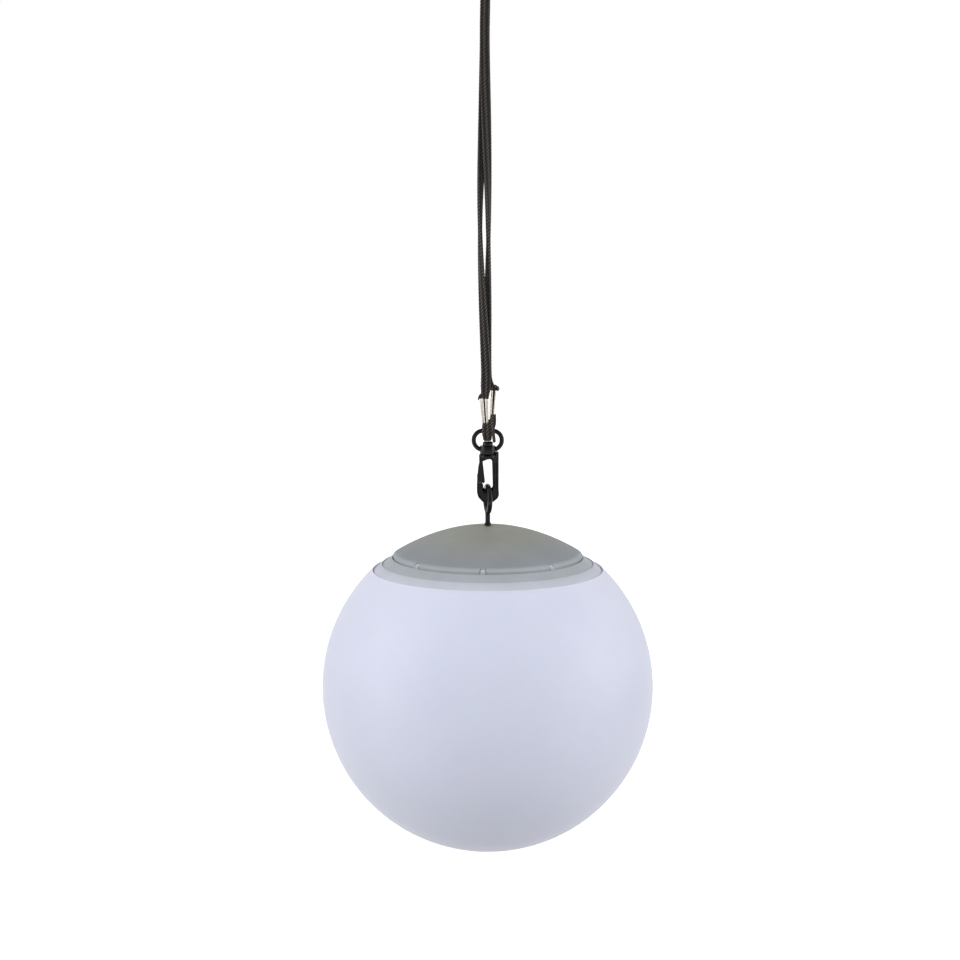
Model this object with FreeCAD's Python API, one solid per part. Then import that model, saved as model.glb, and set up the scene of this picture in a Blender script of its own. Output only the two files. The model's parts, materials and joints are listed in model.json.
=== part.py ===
import FreeCAD, Part
import math
import os

# Garden globe light that hangs on a doubled braided cord.
# Millimetres. +Z is up, +X to the right seen from the front, the front faces -Y.
# The origin is where the object hangs: the inside of the cord's bight, at its top.

Vector = FreeCAD.Vector
UP = Vector(0, 0, 1)
ALONG_X = Vector(1, 0, 0)
ALONG_Y = Vector(0, 1, 0)

# ---- Driving dimensions -------------------------------------------------------------------

# Cord, its eyes and its crimps
cord_width = 6.0
cord_thickness = 2.7
cord_edge_bevel = 0.81
cord_end_in_crimp = 0.2      # how far the cord's end reaches into the mouth of its crimp
crimped_strand = 1.65        # thickness of one strand inside a crimp
strand_below_crimp = 0.8
ferrule_width = 5.9
ferrule_length = 14.9
ferrule_wall = 0.45
ferrule_seam = 0.55
ferrule_lean = 5.6           # degrees, the two crimps lean apart at their tops
front_ferrule_above_bar = 5.4
rear_ferrule_above_bar = 9.2
front_ferrule_back = -1.1    # how far behind the axis the crimp's middle is
rear_ferrule_back = 3.3
front_ferrule_side = -0.8    # how far to the right of the axis, at the bar's height
rear_ferrule_side = 2.1
front_eye_width = 6.2
front_eye_wall = 2.75
front_eye_side = -0.3
front_eye_slack = 0.45       # gap between the eye and the bar it goes round
rear_eye_width = 2.6
rear_eye_wall = 2.8
rear_eye_side = 4.5
rear_eye_slack = 1.9
tail_thickness = 2.3
front_tail_width = 2.5
front_tail_height = 4.6
rear_tail_width = 5.8
rear_tail_height = 3.4

# Swivel ring and snap hook
ring_width = 19.1
ring_height = 14.0
ring_bar = 2.45
swivel_collar_diameter = 10.4
swivel_collar_height = 4.9
swivel_collar_chamfer = 0.35
swivel_post_diameter = 3.2
swivel_head_diameter = 6.2
swivel_head_height = 2.5
swivel_head_chamfer = 0.7
swivel_gap = 0.5             # between collar and hook
hook_reach = 21.0            # from the hook's shoulder down to its seat
hook_floor = 8.4             # from the seat down to the hook's lowest point
hook_width = 13.1
hook_depth = 5.0
hook_spine = 3.7
hook_nose = 3.3
hook_nose_above_seat = 4.0
hook_nose_step = 0.6         # ledge behind the nose, for the gate's barb
hook_nose_bend = 5.6         # from the nose's top down to where its side turns in
hook_rib = 1.15              # width of the raised edge round the hook's hollowed faces
hook_hollow = 0.8            # how deep those faces are hollowed
hook_shoulder_height = 1.4
hook_ear_height = 1.2        # the spine's top stands this much above the shoulder
hook_heel_below_seat = 4.6   # where the sides turn in towards the lowest point
hook_heel_bulge = 0.35
hook_heel_radius = 4.4
hook_nose_heel_inset = 0.75
hook_toe_width = 4.4
hook_toe_radius = 4.2
hook_seat_round = 2.6        # the seat is rounded from front to back, seen from the side
hook_arch_below_shoulder = 2.6
hook_arch_radius = 1.7
gate_thickness = 1.9         # at its root
gate_depth = 4.0
gate_knuckle = 2.2           # diameter of the gate's root
gate_knuckle_inset = 1.2     # from the shoulder's side in to the root
gate_root_below_arch = 1.5
gate_pad_height = 4.6        # raised pad at the gate's foot, where a thumb presses
gate_pad_rise = 0.45
gate_barb_drop = 0.55
gate_barb_width = 1.3
gate_corner_radius = 1.2

# Eye bolt and what fastens it
eye_wire = 3.0
eye_outer = 18.6
eye_neck = 5.7               # bare shank between the ring and the bush
eye_turn = 10.0              # degrees, the eye is not quite side on
eye_foot_diameter = 3.8
eye_foot_height = 1.0
bolt_end_chamfer = 0.4
bush_flange_diameter = 7.0
bush_flange_height = 0.8
bush_barrel_diameter = 5.0
seal_washer_diameter = 10.0
seal_washer_height = 1.2
spreader_diameter = 14.0
spreader_height = 1.0
nut_across_flats = 5.5
nut_height = 4.0
nut_crown_height = 1.4
nut_crown_inset = 0.2
bolt_beyond_nut = 1.5

# Globe
globe_diameter = 200.0
globe_wall = 1.8
ledge_drop = 3.8             # from the globe's rim down to the ledge
ledge_thickness = 2.0
ledge_width = 5.7
twist_travel = 25.0          # degrees from locked to free
twist_stop_width = 2.0
twist_stop_gap = 0.4

# Dome
dome_below_globe = 0.8       # how far the dome's ball lies inside the globe's
dome_wall = 2.2
dome_edge_radius = 57.2
dome_boss_radius = 8.0
dome_boss_height = 3.2
dome_post_diameter = 6.0
dome_post_inset = 2.2        # from the dome's edge in to its posts
notch_count = 8
notch_width = 3.6
notch_depth = 1.5
first_notch_turn = -3.0      # degrees from the front towards +X

# Collar between dome and globe
inner_band_width = 6.3
inner_band_below_globe = 1.8
outer_band_width = 5.8
outer_band_below_globe = 1.1
collar_shelf_width = 1.8
collar_crown_depth = 2.0
collar_web_height = 2.0
collar_web_above_rim = 1.9
collar_skirt_wall = 2.0
collar_skirt_below_web = 12.0
flange_lip_width = 1.2
flange_lip_height = 0.9
flange_hollow_height = 2.6
lug_reach = 2.3
lug_height = 2.5
lug_width = 12.0
lug_root = 0.5               # how far a lug is sunk into the skirt
lug_count = 3
lug_side_gap = 1.0

# Gasket
gasket_width = 2.2
gasket_height = 1.5

# Housing of the electronics
housing_rim_height = 2.0
housing_wall = 1.6
housing_floor = 2.0
housing_cup_depth = 26.0
housing_in_web = 0.5         # gap round the cup where it hangs through the collar's web
fastener_count = 4
first_fastener_turn = 45.0
screw_shank_diameter = 2.9
screw_head_diameter = 5.6
screw_head_height = 1.9
screw_length = 9.0
screw_end_gap = 0.3
small_screw_diameter = 2.2
small_screw_head = 4.0
small_screw_head_height = 1.5
small_screw_length = 5.0
small_post_diameter = 4.8

# Solar panel
panel_on_web = 2.0           # how far the panel lies over the web
panel_to_post = 1.0
panel_thickness = 2.0
panel_bore = 3.0
panel_lead_side = 12.0
panel_lead_front = -20.0

# Battery
battery_diameter = 14.2
battery_length = 50.0
battery_cap_diameter = 5.6
battery_cap_height = 1.4
holder_wall = 1.1
holder_window_length = 25.0
holder_window_width = 8.0
contact_room = 1.1           # from the cell's end to the holder's end wall
contact_plate = 0.4
contact_plate_width = 8.0
contact_cone_small = 4.4
contact_cone_large = 6.4
contact_button_diameter = 3.2
door_thickness = 1.4
door_lip = 1.2
door_lip_root = 0.5
door_overlap = 1.2
door_tab_length = 4.5
door_tab_width = 8.0

# Light source
led_board_radius = 14.0
led_board_thickness = 1.6
led_size = 3.0
led_height = 0.8
led_ring_radius = 8.0
led_count = 8
led_screw_inset = 2.4
led_lead_inset = 3.5

# Control board and switch
board_length = 36.0
board_width = 20.0
board_thickness = 1.6
board_to_wall = 4.5
board_above_floor = 6.4
board_screw_inset = 3.0
board_screw_length = 6.1
inductor_diameter = 6.0
inductor_height = 3.5
inductor_side = 8.0
inductor_back = 2.0          # places on the board are counted from its middle
capacitor_diameter = 5.0
capacitor_height = 7.0
capacitor_side = -1.0
capacitor_back = 5.0
controller_length = 5.0
controller_width = 4.0
controller_height = 1.5
controller_side = -6.5
controller_back = -2.0
connector_length = 10.0
connector_width = 4.5
connector_height = 4.5
connector_back = -7.2
connector_pin_spacing = 3.2
switch_length = 9.0
switch_width = 4.4
switch_height = 4.0
switch_back = -5.0
switch_travel = 3.0
slider_length = 2.6
slider_width = 2.2
slider_below_floor = 2.2
slider_in_switch = 2.0
slider_chamfer = 0.4

# Leads
lead_diameter = 1.4

# Clearances
running_clearance = 0.1
hook_clearance = 0.3
twist_clearance = 0.65
fit_clearance = 0.2
rest_gap = 0.05
through = 1.0                # how far a cutter reaches past what it cuts

# The doubled cord's middle line, chosen point by point: up the front leg from its crimp, over
# whatever holds the light, and down the rear leg. The legs go half round each other on the way.
CORD_ROUTE = [
    Vector(-1.9, -1.9, -249.4),
    Vector(-1.4, -1.8, -241.0),
    Vector(-1.0, -1.6, -232.9),
    Vector(-1.6, -1.5, -217.0),
    Vector(-2.9, -1.1, -192.0),
    Vector(-4.8, -0.2, -155.0),
    Vector(-4.8, 0.3, -125.2),
    Vector(-2.9, 1.65, -83.8),
    Vector(-1.9, 1.75, -48.6),
    Vector(-1.8, 2.1, -31.0),
    Vector(-1.6, 4.7, -19.5),
    Vector(-1.5, 5.35, -10.5),
    Vector(-1.5, 5.35, 1.35),
    Vector(-1.5, -5.35, 1.35),
    Vector(-1.5, -5.35, -10.5),
    Vector(-1.7, -4.7, -19.5),
    Vector(-1.9, -2.1, -31.0),
    Vector(-1.9, -1.75, -48.6),
    Vector(-1.1, -1.65, -83.8),
    Vector(-0.25, -0.3, -125.2),
    Vector(-0.3, 0.2, -155.0),
    Vector(0.2, 1.1, -192.0),
    Vector(0.5, 1.45, -217.0),
    Vector(0.6, 1.7, -232.9),
    Vector(3.3, 3.4, -240.6),
    Vector(4.4, 4.1, -245.9),
]

# Bends of the inner leads, counted from where each leaves and from where it arrives.
PANEL_LEAD_LEAVES = [Vector(0, -0.4, -6.05)]
PANEL_LEAD_ARRIVES = [Vector(5.8, 6.25, 7.0), Vector(0.3, 0.6, 4.5)]
BATTERY_LEADS_LEAVE = [Vector(0, -5.0, 0.6), Vector(2.0, -15.3, 7.0)]
BATTERY_LEADS_ARRIVE = [Vector(0.8, 14.25, 8.5), Vector(0, 1.6, 5.0)]
LED_LEADS_LEAVE = [Vector(0.1, 0, 7.6), Vector(-4.0, -1.7, 17.6)]
LED_LEADS_ARRIVE = [Vector(-2.2, 8.25, 7.0), Vector(-0.2, 0.6, 5.0)]

CORD_TWIST_BOTTOM = -249.0
CORD_TWIST_TOP = -49.0
STATION_SPACING = 9.0
STATION_TURN = 12.0          # degrees
DROP_STEPS = 24
BAND_STEPS = 4

# ---- Places worked out from them ----------------------------------------------------------

ring_bar_z = CORD_ROUTE[0].z + cord_end_in_crimp - ferrule_length - front_ferrule_above_bar
ring_mid_height = ring_height - ring_bar
ring_mid_width = ring_width - ring_bar
ring_centre_z = ring_bar_z - ring_mid_height / 2
swivel_collar_z = ring_bar_z - ring_mid_height
shoulder_z = swivel_collar_z - swivel_collar_height / 2 - swivel_gap
arch_z = shoulder_z - hook_arch_below_shoulder
gate_root_x = -swivel_collar_diameter / 2 + gate_knuckle_inset
gate_root_z = arch_z - gate_root_below_arch
seat_z = shoulder_z - hook_reach
nose_top_z = seat_z + hook_nose_above_seat
hook_bottom_z = seat_z - hook_floor
spine_inner_x = hook_width / 2 - hook_spine
nose_inner_x = hook_nose - hook_width / 2
seat_left_x = nose_inner_x + hook_nose_step
seat_radius = (spine_inner_x - seat_left_x) / 2
eye_mid_radius = (eye_outer - eye_wire) / 2
eye_bar_z = seat_z + hook_clearance + eye_wire / 2
eye_centre_z = eye_bar_z - eye_mid_radius
bush_top_z = eye_centre_z - eye_outer / 2 - eye_neck
dome_top_z = bush_top_z - bush_flange_height

globe_radius = globe_diameter / 2
dome_radius = globe_radius - dome_below_globe
inner_band_radius = globe_radius - inner_band_below_globe
outer_band_radius = globe_radius - outer_band_below_globe
globe_centre_z = dome_top_z - dome_radius
dome_inner_radius = dome_radius - dome_wall
dome_boss_z = globe_centre_z + dome_inner_radius - dome_boss_height
seal_washer_z = dome_boss_z - seal_washer_height
spreader_z = seal_washer_z - spreader_height
nut_z = spreader_z - nut_height
bolt_end_z = nut_z - bolt_beyond_nut

collar_step_radius = dome_edge_radius + inner_band_width
neck_radius = collar_step_radius + outer_band_width
ledge_inner = neck_radius - ledge_width
rim_z = globe_centre_z + math.sqrt(globe_radius ** 2 - neck_radius ** 2)
ledge_top_z = rim_z - ledge_drop
ledge_bottom_z = ledge_top_z - ledge_thickness
gasket_bottom_z = ledge_top_z + fit_clearance / 2
flange_z = gasket_bottom_z + gasket_height
lug_top_z = ledge_bottom_z - fit_clearance
collar_outer = neck_radius - hook_clearance
lip_inner = collar_outer - gasket_width - flange_lip_width
web_z = rim_z + collar_web_above_rim
web_top_z = web_z + collar_web_height
skirt_outer = ledge_inner - twist_clearance
skirt_inner = skirt_outer - collar_skirt_wall
skirt_bottom_z = web_z - collar_skirt_below_web

fastener_circle = dome_edge_radius - dome_post_inset - dome_post_diameter / 2
panel_radius = fastener_circle - dome_post_diameter / 2 - panel_to_post
web_hole_radius = panel_radius - panel_on_web
housing_cup_radius = web_hole_radius - housing_in_web
cup_inner_radius = housing_cup_radius - housing_wall
housing_rim_radius = skirt_inner - hook_clearance
housing_rim_z = web_z - housing_rim_height
floor_top_z = housing_rim_z + housing_floor - housing_cup_depth
floor_z = floor_top_z - housing_floor

holder_half_length = battery_length / 2 + contact_room + holder_wall + fit_clearance
holder_half_width = battery_diameter / 2 + fit_clearance / 2 + holder_wall
holder_corner_radius = cup_inner_radius - hook_clearance
battery_back = math.sqrt(holder_corner_radius ** 2 - holder_half_length ** 2) - holder_half_width
battery_z = floor_top_z + battery_diameter / 2 + fit_clearance
door_opening_half_length = holder_half_length - holder_wall
door_opening_half_width = holder_half_width - holder_wall
door_half_length = door_opening_half_length + door_overlap
door_half_width = door_opening_half_width + door_overlap
door_screw_x = door_half_length + door_tab_length - small_screw_head / 2 - fit_clearance

led_board_z = floor_z - led_board_thickness
led_screw_x = led_board_radius - led_screw_inset
led_lead_y = led_lead_inset - led_board_radius

board_y = board_width / 2 - math.sqrt((cup_inner_radius - board_to_wall) ** 2 - (board_length / 2) ** 2)
board_z = floor_top_z + board_above_floor
board_top_z = board_z + board_thickness
connector_y = board_y + connector_back
connector_z = board_top_z + connector_height
switch_y = board_y + switch_back
switch_z = board_z - switch_height
slider_half_length = slider_length / 2
slot_half_length = slider_half_length + switch_travel / 2 + 2 * fit_clearance
slot_half_width = slider_width / 2 + fit_clearance
slider_top_z = switch_z + slider_in_switch


# ---- Small helpers ------------------------------------------------------------------------

def box(x0, x1, y0, y1, z0, z1):
    """Block between two corners."""
    return Part.makeBox(x1 - x0, y1 - y0, z1 - z0, Vector(x0, y0, z0))


def rod(radius, z0, z1, x=0.0, y=0.0):
    """Upright cylinder from z0 to z1."""
    return Part.makeCylinder(radius, z1 - z0, Vector(x, y, z0), UP)


def pipe(outer, inner, z0, z1, x=0.0, y=0.0):
    """Upright tube from z0 to z1."""
    return rod(outer, z0, z1, x, y).cut(rod(inner, z0 - through, z1 + through, x, y))


def ball(radius, z):
    """Ball on the object's upright axis."""
    return Part.makeSphere(radius, Vector(0, 0, z))


def around(shape, turn, centre=None):
    """Copy of a shape turned about the upright axis, in degrees."""
    copy = shape.copy()
    copy.rotate(centre or Vector(0, 0, 0), UP, turn)
    return copy


def sphere_height(radius, distance):
    """Height, on a ball about the globe's centre, at a distance from the axis."""
    return globe_centre_z + math.sqrt(radius ** 2 - distance ** 2)


def outline_face(points, plane):
    """Flat face inside straight lines through points given as pairs in a plane."""
    corners = [plane(a, b) for a, b in points]
    return Part.Face(Part.makePolygon(corners + corners[:1]))


def rounded_face(corners, plane):
    """Flat face inside straight lines whose corners are rounded by tangent arcs.

    Each corner is its two coordinates and its radius, which its two lines may limit.
    """
    places = [plane(a, b) for a, b, _ in corners]
    edges = []
    starts = []
    ends = []
    for item, (_, _, radius) in enumerate(corners):
        corner = places[item]
        before = places[item - 1]
        after = places[(item + 1) % len(places)]
        arriving = (corner - before).normalize()
        leaving = (after - corner).normalize()
        half_turn = arriving.getAngle(leaving) / 2
        shorter_line = min((corner - before).Length, (after - corner).Length)
        cut = min(radius * math.tan(half_turn), 0.49 * shorter_line)
        starts.append(corner - arriving * cut)
        ends.append(corner + leaving * cut)
        if cut > 0:
            inward = (leaving - arriving).normalize()
            fitted = cut / math.tan(half_turn)
            middle = corner + inward * (fitted / math.cos(half_turn) - fitted)
            edges.append(Part.Arc(starts[-1], middle, ends[-1]).toShape())
    for item, end in enumerate(ends):
        edges.append(Part.LineSegment(end, starts[(item + 1) % len(starts)]).toShape())
    return Part.Face(Part.Wire(Part.__sortEdges__(edges)))


def in_front_plane(y):
    """Pairs are x and z, on an upright plane at y."""
    return lambda x, z: Vector(x, y, z)


def in_side_plane(x):
    """Pairs are y and z, on an upright plane at x."""
    return lambda y, z: Vector(x, y, z)


def turned_profile(points):
    """Solid turned about the upright axis from pairs of radius and height."""
    face = outline_face(points, in_front_plane(0))
    return face.revolve(Vector(0, 0, 0), UP, 360)


def hex_prism(across_flats, z0, z1):
    """Upright six-sided bar on the axis."""
    corner = across_flats / math.sqrt(3)
    turns = [math.radians(60 * side) for side in range(6)]
    points = [(corner * math.cos(turn), corner * math.sin(turn)) for turn in turns]
    return outline_face(points, lambda x, y: Vector(x, y, z0)).extrude(UP * (z1 - z0))


def fastener_places():
    """Places of the housing's screws, as pairs of x and y."""
    turns = [math.radians(first_fastener_turn + 360 / fastener_count * item)
             for item in range(fastener_count)]
    return [(fastener_circle * math.sin(turn), -fastener_circle * math.cos(turn)) for turn in turns]


def screw(x, y, seat, shank_diameter, head_diameter, head_height, length):
    """Pan-head screw driven upwards, with its head under the seat."""
    head = rod(head_diameter / 2, seat - head_height, seat, x, y)
    shank = rod(shank_diameter / 2, seat, seat + length, x, y)
    drive = rod(head_diameter / 5, seat - head_height - through, seat - head_height / 2, x, y)
    return head.fuse(shank).cut(drive)


def save(name, *solids):
    """Write one node from its separate solids."""
    shape = solids[0] if len(solids) == 1 else Part.makeCompound(list(solids))
    shape.exportStep(f"parts/{name}.step")
    print(name, "solids", len(shape.Solids), "valid", shape.isValid(), "volume", round(shape.Volume, 1))


# ---- Routes with tangent arcs -------------------------------------------------------------

def rounded_route(points):
    """Straight runs joined by tangent arcs. Gives the edges and the arcs' radii."""
    edges = []
    radii = []
    start = points[0]
    for before, corner, after in zip(points, points[1:], points[2:]):
        arriving = (corner - before).normalize()
        leaving = (after - corner).normalize()
        half_turn = arriving.getAngle(leaving) / 2
        shorter_run = min((corner - before).Length, (after - corner).Length)
        cut = 0.45 * shorter_run
        radius = cut / math.tan(half_turn)
        arc_start = corner - arriving * cut
        arc_end = corner + leaving * cut
        inward = (leaving - arriving).normalize()
        middle = corner + inward * (radius / math.cos(half_turn) - radius)
        edges.append(Part.LineSegment(start, arc_start).toShape())
        edges.append(Part.Arc(arc_start, middle, arc_end).toShape())
        radii.append(radius)
        start = arc_end
    edges.append(Part.LineSegment(start, points[-1]).toShape())
    return edges, radii


def lead(name, start, bends_from_start, bends_from_end, end):
    """Round lead swept along a route, with its volume checked against its length."""
    points = [start] + [start + bend for bend in bends_from_start]
    points += [end + bend for bend in bends_from_end] + [end]
    edges, radii = rounded_route(points)
    path = Part.Wire(edges)
    direction = (points[1] - points[0]).normalize()
    section = Part.Wire(Part.Circle(points[0], direction, lead_diameter / 2).toShape())
    solid = path.makePipeShell([section], True, False)
    expected = math.pi * lead_diameter ** 2 / 4 * path.Length
    print(name, "radii", [round(radius, 1) for radius in radii],
          "volume ratio", round(solid.Volume / expected, 4))
    return solid


# ---- Cord ---------------------------------------------------------------------------------

def cord_section_points(place, tangent):
    """Corners of the flat cord's section: its width turns half round between two heights."""
    share = (place.z - CORD_TWIST_BOTTOM) / (CORD_TWIST_TOP - CORD_TWIST_BOTTOM)
    turn = math.pi * min(max(share, 0.0), 1.0)
    across = Vector(math.cos(turn), -math.sin(turn), 0)
    across = (across - tangent * across.dot(tangent)).normalize()
    through = tangent.cross(across)
    half_width = cord_width / 2
    half_thickness = cord_thickness / 2
    shoulder = half_width - cord_edge_bevel
    flat = half_thickness - cord_edge_bevel
    corners = [
        (half_width, flat), (shoulder, half_thickness),
        (-shoulder, half_thickness), (-half_width, flat),
        (-half_width, -flat), (-shoulder, -half_thickness),
        (shoulder, -half_thickness), (half_width, -flat),
    ]
    return [place + across * wide + through * thick for wide, thick in corners]


def stations_of(edge):
    """Places along one run or arc, evenly spaced, each with its direction."""
    turn = math.degrees(edge.tangentAt(edge.FirstParameter).getAngle(edge.tangentAt(edge.LastParameter)))
    steps = max(1, math.ceil(edge.Length / STATION_SPACING), math.ceil(turn / STATION_TURN))
    span = edge.LastParameter - edge.FirstParameter
    parameters = [edge.FirstParameter + span * step / steps for step in range(steps + 1)]
    return [(edge.valueAt(parameter), edge.tangentAt(parameter)) for parameter in parameters]


def make_hanging_cord():
    """Flat cord as a ruled loft through its sections along the route."""
    edges, radii = rounded_route(CORD_ROUTE)
    stations = stations_of(edges[0])
    for edge in edges[1:]:
        stations.extend(stations_of(edge)[1:])
    sections = []
    for place, tangent in stations:
        corners = cord_section_points(place, tangent.normalize())
        sections.append(Part.makePolygon(corners + corners[:1]))
    solid = Part.makeLoft(sections, True, True)
    length = sum(edge.Length for edge in edges)
    area = Part.Face(sections[0]).Area
    print("cord radii", [round(radius, 1) for radius in radii])
    print("cord length", round(length, 1), "volume ratio", round(solid.Volume / (area * length), 4))
    return solid


def lean_about_bar(shape, lean, x):
    """Turn a piece about the ring's top bar, in the front view, and set it beside the axis."""
    placed = shape.copy()
    placed.rotate(Vector(0, 0, ring_bar_z), ALONG_Y, lean)
    placed.translate(Vector(x, 0, 0))
    return placed


def drop_outline(radius, top_half, top_y, top_height):
    """Side view of a loop as pairs of y and z: a circle about the bar and two lines from it.

    The lines go up to a flat top, or to one point where the top has no width.
    """
    reach = math.hypot(top_y, top_height)
    direction = math.atan2(top_height, top_y)
    spread = math.acos((radius - top_half) / reach)
    first = direction + spread
    span = 2 * (math.pi - spread)
    turns = [first + span * step / DROP_STEPS for step in range(DROP_STEPS + 1)]
    points = [(radius * math.cos(turn), ring_bar_z + radius * math.sin(turn)) for turn in turns]
    points.append((top_y + top_half, ring_bar_z + top_height))
    if top_half > 0:
        points.append((top_y - top_half, ring_bar_z + top_height))
    return points


def eye_loop(width, wall, slack, strand_y, height):
    """Loop of cord round the ring's bar, drawn in towards the crimp above it."""
    inner_radius = ring_bar / 2 + slack
    outer = outline_face(drop_outline(inner_radius + wall, crimped_strand, strand_y, height),
                         in_side_plane(-width / 2))
    inner = outline_face(drop_outline(inner_radius, 0.0, strand_y, height - wall / 2),
                         in_side_plane(-width / 2 - through))
    hollow = inner.extrude(ALONG_X * (width + 2 * through))
    return outer.extrude(ALONG_X * width).cut(hollow)


def strands_in_crimp(strand_y, height, below=0.0):
    """Both strands side by side, filling the crimp from its bottom, or from below it, to its top."""
    half_width = ferrule_width / 2 - ferrule_wall
    bottom = ring_bar_z + height
    return box(-half_width, half_width, strand_y - crimped_strand, strand_y + crimped_strand,
               bottom - below, bottom + ferrule_length)


def make_ferrule(strand_y, height):
    """Crimp folded from a strip: a rounded sleeve that is open along a seam in front."""
    bottom = ring_bar_z + height
    half_width = ferrule_width / 2
    half_depth = crimped_strand + ferrule_wall
    sleeve = box(-half_width, half_width, strand_y - half_depth, strand_y + half_depth,
                 bottom, bottom + ferrule_length)
    upright = [edge for edge in sleeve.Edges if abs(edge.tangentAt(edge.FirstParameter).z) > 0.9]
    sleeve = sleeve.makeFillet(ferrule_wall, upright)
    seam = box(-ferrule_seam / 2, ferrule_seam / 2, strand_y - half_depth - through, strand_y,
               bottom - through, bottom + ferrule_length + through)
    return sleeve.cut(strands_in_crimp(strand_y, height)).cut(seam)


def make_cord_end(strand_y, height, side, lean, loop, loop_side, tail):
    """One eye with its strands and its tail, and the crimp on them."""
    strands = strands_in_crimp(strand_y, height, strand_below_crimp).fuse(tail)
    strands = lean_about_bar(strands, lean, side)
    ferrule = lean_about_bar(make_ferrule(strand_y, height), lean, side)
    loop = lean_about_bar(loop, -ferrule_lean, loop_side)
    return loop.fuse(strands).removeSplitter().cut(ferrule), ferrule


def make_front_cord_end():
    """Wide eye, seen face on from the front, whose tail stands beside the leg."""
    top = ring_bar_z + front_ferrule_above_bar + ferrule_length
    left = ferrule_wall - ferrule_width / 2
    tail = box(left, left + front_tail_width, front_ferrule_back, front_ferrule_back + tail_thickness,
               top, top + front_tail_height)
    loop = eye_loop(front_eye_width, front_eye_wall, front_eye_slack,
                    front_ferrule_back, front_ferrule_above_bar)
    return make_cord_end(front_ferrule_back, front_ferrule_above_bar, front_ferrule_side,
                         -ferrule_lean, loop, front_eye_side, tail)


def make_rear_cord_end():
    """Bunched, slack eye whose tail stands across the leg."""
    top = ring_bar_z + rear_ferrule_above_bar + ferrule_length
    tail = box(-rear_tail_width / 2, rear_tail_width / 2, rear_ferrule_back - tail_thickness,
               rear_ferrule_back, top, top + rear_tail_height)
    loop = eye_loop(rear_eye_width, rear_eye_wall, rear_eye_slack,
                    rear_ferrule_back, rear_ferrule_above_bar)
    return make_cord_end(rear_ferrule_back, rear_ferrule_above_bar, rear_ferrule_side,
                         ferrule_lean, loop, rear_eye_side, tail)


# ---- Swivel snap hook ---------------------------------------------------------------------

def make_swivel_ring():
    """Oval ring of round bar with the collar that the hook's post turns in."""
    bar = ring_bar / 2
    end_radius = ring_mid_height / 2
    straight = ring_mid_width / 2 - end_radius
    left = Vector(-straight, 0, 0)
    right = Vector(straight, 0, 0)
    top = Vector(0, 0, ring_centre_z + end_radius)
    bottom = Vector(0, 0, ring_centre_z - end_radius)
    middle = Vector(0, 0, ring_centre_z)
    path = Part.Wire([
        Part.LineSegment(top + left, top + right).toShape(),
        Part.Arc(top + right, middle + right + ALONG_X * end_radius, bottom + right).toShape(),
        Part.LineSegment(bottom + right, bottom + left).toShape(),
        Part.Arc(bottom + left, middle + left - ALONG_X * end_radius, top + left).toShape(),
    ])
    section = Part.Wire(Part.Circle(top + left, ALONG_X, bar).toShape())
    ring = path.makePipeShell([section], True, False)
    half_height = swivel_collar_height / 2
    collar = rod(swivel_collar_diameter / 2, swivel_collar_z - half_height, swivel_collar_z + half_height)
    rims = [edge for edge in collar.Edges if len(edge.Vertexes) == 1]
    collar = collar.makeChamfer(swivel_collar_chamfer, rims)
    bore = rod(swivel_post_diameter / 2 + running_clearance, swivel_collar_z - half_height - through,
               swivel_collar_z + half_height + through)
    return ring.fuse(collar).cut(bore)


def hook_corners():
    """Front view of the hook: corners with their radii, round the outside and back inside."""
    half = hook_width / 2
    shoulder = swivel_collar_diameter / 2
    ear_x = shoulder + hook_clearance
    ear_z = shoulder_z + hook_ear_height
    heel_z = seat_z - hook_heel_below_seat
    toe_x = hook_toe_width / 2
    outside = [
        (-shoulder, shoulder_z, 0.0),
        (ear_x, shoulder_z, 0.0),
        (ear_x, ear_z, 0.0),
        (half, ear_z, hook_clearance),
        (half, seat_z, 4 * hook_heel_radius),
        (half + hook_heel_bulge, heel_z, hook_heel_radius),
        (toe_x, hook_bottom_z, hook_toe_radius),
        (-toe_x, hook_bottom_z, hook_toe_radius),
        (-half + hook_nose_heel_inset, heel_z, hook_heel_radius),
        (-half, nose_top_z - hook_nose_bend, 4 * hook_heel_radius),
        (-half, nose_top_z, 0.0),
    ]
    knuckle_top_z = gate_root_z + hook_clearance
    inside = [
        (nose_inner_x, nose_top_z, 0.0),
        (nose_inner_x, nose_top_z - hook_nose_step, 0.0),
        (seat_left_x, nose_top_z - 2 * hook_nose_step, 0.0),
        (seat_left_x, seat_z, seat_radius),
        (spine_inner_x, seat_z, seat_radius),
        (spine_inner_x, arch_z, hook_arch_radius),
        (0.0, arch_z, hook_arch_radius),
        (gate_root_x + gate_knuckle / 2, knuckle_top_z, 0.0),
        (-shoulder - hook_clearance, knuckle_top_z, 0.0),
    ]
    return outside + inside


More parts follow.
